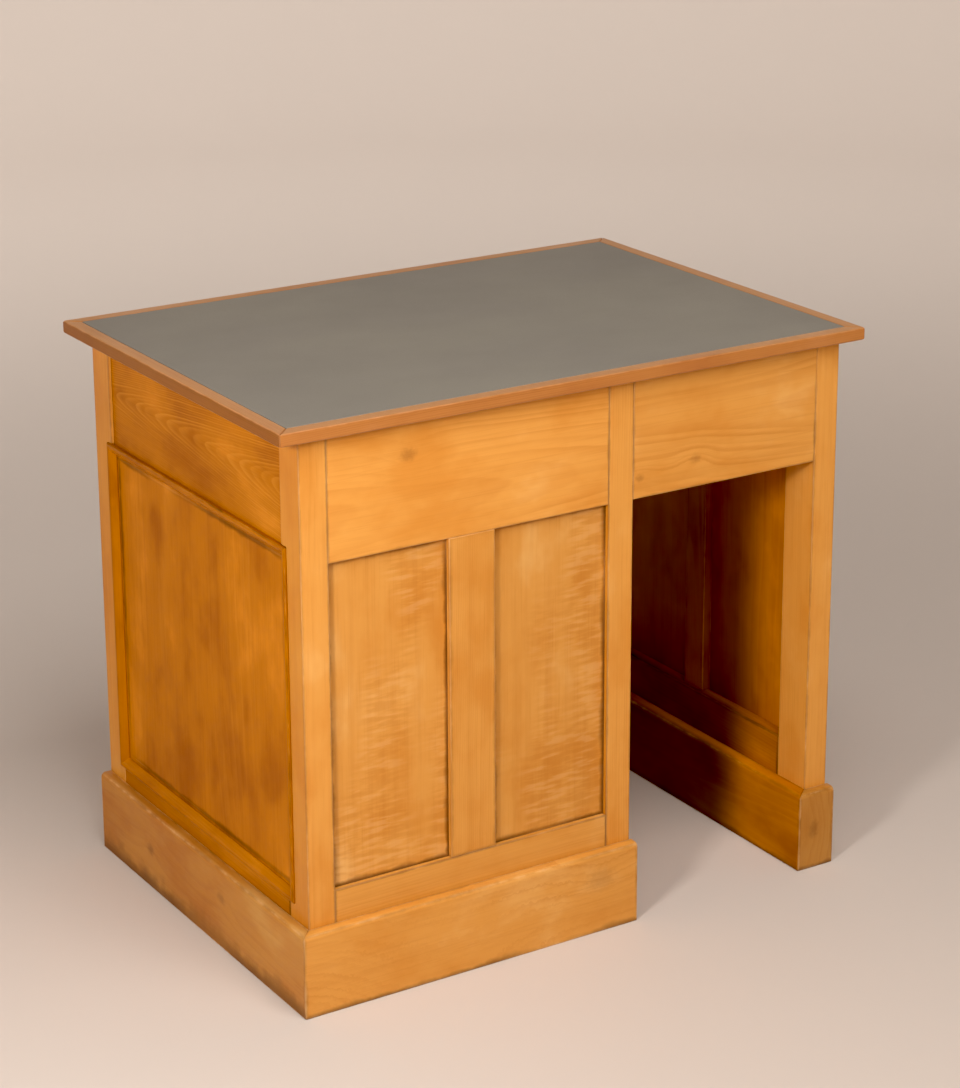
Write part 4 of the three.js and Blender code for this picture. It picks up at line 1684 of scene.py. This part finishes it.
@dataclass(frozen=True)
class Lamp:
    """A square soft lamp.

    Attributes:
        name: Its name.
        size: Its side, in metres.
        power: Its power, in watts.
        colour: Its colour.
    """

    name: str
    size: float
    power: float
    colour: Triple

    def hang(self, place: Vector, aim: Vector) -> None:
        """Hangs the lamp at a place and points it at another.

        Args:
            place: Where its middle hangs.
            aim: The point that it faces.
        """
        data = bpy.data.lights.new(self.name, "AREA")
        data.shape = "SQUARE"
        data.size = self.size
        data.energy = self.power
        data.color = self.colour
        lamp = bpy.data.objects.new(self.name, data)
        bpy.context.scene.collection.objects.link(lamp)
        lamp.location = place
        lamp.rotation_euler = (aim - place).to_track_quat("-Z", "Y").to_euler()


@dataclass
class Studio:
    """A pale round sweep, soft lamps and the camera.

    Attributes:
        floor_radius: Where the floor starts to curve up, in metres from the desk.
        wall_radius: Radius of the wall.
        wall_height: Height of the wall.
        desk_lamp_colour: Colour of the two lamps that light the desk.
        wall_lamp_colour: Colour of the lamps that light the wall.
        wall_lamps: How many of those there are.
        wall_lamp_place: Their distance from the desk's axis and their height.
        wall_lamp_power: Their mean power, in watts.
        wall_lamp_swing: How much weaker they are at the camera's right, and stronger at its left.
        azimuth: The camera's place, in degrees round from the class side towards the right end.
        elevation: Degrees that it stands above its target.
        distance: Its distance from its target.
        aside: How far its target lies to the right of the desk's middle, as the camera sees it.
        aloft: How far its target lies above the desk's middle, the same way.
        roll: Degrees that it leans.
        lens: Its focal length in millimetres.
        shift: Its lens's vertical shift, in widths of the sensor.
    """

    floor_radius: float = 4.9
    wall_radius: float = 6.6
    wall_height: float = 4.5
    desk_lamp_colour: Triple = (1.0, 0.965, 0.93)
    wall_lamp_colour: Triple = (1.0, 0.97, 0.94)
    wall_lamps: int = 8
    wall_lamp_place: tuple[float, float] = (3.8, 3.6)
    wall_lamp_power: float = 68.0
    wall_lamp_swing: float = 0.3
    azimuth: float = -31.99
    elevation: float = 16.65
    distance: float = 3.935
    aside: float = 0.0247
    aloft: float = 0.2672
    roll: float = -0.28
    lens: float = 94.82
    shift: float = -0.1324

    def build(self) -> None:
        """Sets up the sweep, the lamps, the camera and the colour handling."""
        self._sweep()
        front = Lamp("front", 1.8, 80, self.desk_lamp_colour)
        self._desk_lamp(front, azimuth=-8, elevation=57, distance=3.4)
        side = Lamp("side", 0.34, 31, self.desk_lamp_colour)
        self._desk_lamp(side, azimuth=-55, elevation=23, distance=2.4)
        self._wall_lamps()
        world = bpy.data.worlds.new("Studio")
        bpy.context.scene.world = world
        world.use_nodes = True
        background = world.node_tree.nodes["Background"]
        background.inputs["Color"].default_value = (1.0, 0.95, 0.9, 1.0)
        background.inputs["Strength"].default_value = 0.04
        view = bpy.context.scene.view_settings
        view.view_transform = "Standard"
        view.use_curve_mapping = True
        view.curve_mapping.black_level = (0.012, 0.013, 0.013)
        self._camera()

    def _desk_lamp(self, lamp: Lamp, azimuth: float, elevation: float, distance: float) -> None:
        """Hangs a lamp that points at the desk.

        Args:
            lamp: The lamp.
            azimuth: Degrees round from the class side, towards the right end.
            elevation: Degrees above the floor.
            distance: Metres from the desk.
        """
        middle = Vector((0, 0, 0.4))
        lamp.hang(middle + self._towards(azimuth, elevation) * distance, middle)

    def _wall_lamps(self) -> None:
        """Hangs a ring of lamps that light the wall and the outer floor, but not the desk."""
        reach, height = self.wall_lamp_place
        for number in range(self.wall_lamps):
            turn = number / self.wall_lamps
            outward = self._towards(360 * turn + self.azimuth, 0)
            place = outward * reach + Vector((0, 0, height))
            power = self.wall_lamp_power * (1 - self.wall_lamp_swing * math.sin(math.tau * turn))
            aim = place + outward - Vector((0, 0, 1))
            Lamp(f"wall_{number}", 2.0, power, self.wall_lamp_colour).hang(place, aim)

    def _sweep(self) -> None:
        """Lays the round floor that curves up into a wall."""
        bend = self.wall_radius - self.floor_radius
        steps = 16
        profile = [(self.floor_radius, 0.0)]
        for step in range(1, steps + 1):
            turn = math.pi / 2 * step / steps
            profile.append((self.floor_radius + bend * math.sin(turn), bend * (1 - math.cos(turn))))
        profile.append((self.wall_radius, self.wall_height))
        mesh = bmesh.new()
        rings = turned_rings(mesh, profile, 96, Along.Z)
        close_ring(mesh, rings[0], (0.0, 0.0, 0.0))
        for face in mesh.faces:
            face.smooth = True
        data = bpy.data.meshes.new("sweep")
        mesh.to_mesh(data)
        mesh.free()
        sweep = bpy.data.objects.new("sweep", data)
        bpy.context.scene.collection.objects.link(sweep)
        paint(sweep, self._paper())

    @staticmethod
    def _paper() -> bpy.types.Material:
        """Makes the sweep's plain matt paper.

        Returns:
            The material.
        """
        material = bpy.data.materials.new("paper")
        material.use_nodes = True
        shader = material.node_tree.nodes["Principled BSDF"]
        shader.inputs["Base Color"].default_value = shade("CFC4BB")
        shader.inputs["Roughness"].default_value = 0.75
        shader.inputs["Specular IOR Level"].default_value = 0.25
        return material

    @staticmethod
    def _towards(azimuth: float, elevation: float) -> Vector:
        """Finds the direction of something seen from the desk.

        Args:
            azimuth: Degrees round from the class side, towards the right end.
            elevation: Degrees up.

        Returns:
            The direction, one metre long.
        """
        a, e = math.radians(azimuth), math.radians(elevation)
        return Vector((math.sin(a) * math.cos(e), -math.cos(a) * math.cos(e), math.sin(e)))

    def _camera(self) -> None:
        """Places the camera."""
        data = bpy.data.cameras.new("camera")
        data.lens = self.lens
        data.sensor_width = 36.0
        data.shift_y = self.shift
        data.clip_end = 60.0
        camera = bpy.data.objects.new("camera", data)
        bpy.context.scene.collection.objects.link(camera)
        back = self._towards(self.azimuth, self.elevation)
        right = (-back).cross(Vector((0, 0, 1))).normalized()
        up = right.cross(-back)
        height = CAD_BOX[1][2]
        target = Vector((0, 0, height / 2)) + right * self.aside + up * self.aloft
        turn = Matrix((right, up, back)).transposed()
        roll = Matrix.Rotation(math.radians(self.roll), 3, "Z")
        camera.matrix_world = (turn @ roll).to_4x4()
        camera.location = target + back * self.distance
        bpy.context.scene.camera = camera


def main() -> None:
    """Builds the desk's looks in order."""
    logging.basicConfig(level=logging.INFO, format="%(name)s: %(message)s")
    Studio().build()
    WritingTop().dress()
    Posts().dress()
    ClassSide().dress()
    EndFrame("left", 71.0).dress()
    # painted shade inside the kneehole on the right end's panel and rail, a little lighter at the mouth
    EndFrame("right", 81.0, panel_kneehole_shade=(1.05, 0.65, 0.4), rail_kneehole_shade=(1.0, 0.45, 0.36)).dress()
    KneeWall().dress()
    Plinth().dress()
    inside = Inside()
    inside.build()
    inside.dress()
    Drawer("pedestal_drawer", 141.0).dress()
    Drawer("knee_drawer", 156.0).dress()
    door = CupboardDoor()
    door.dress()
    door.hang()
    log.info("size written")


if __name__ == "__main__":
    main()
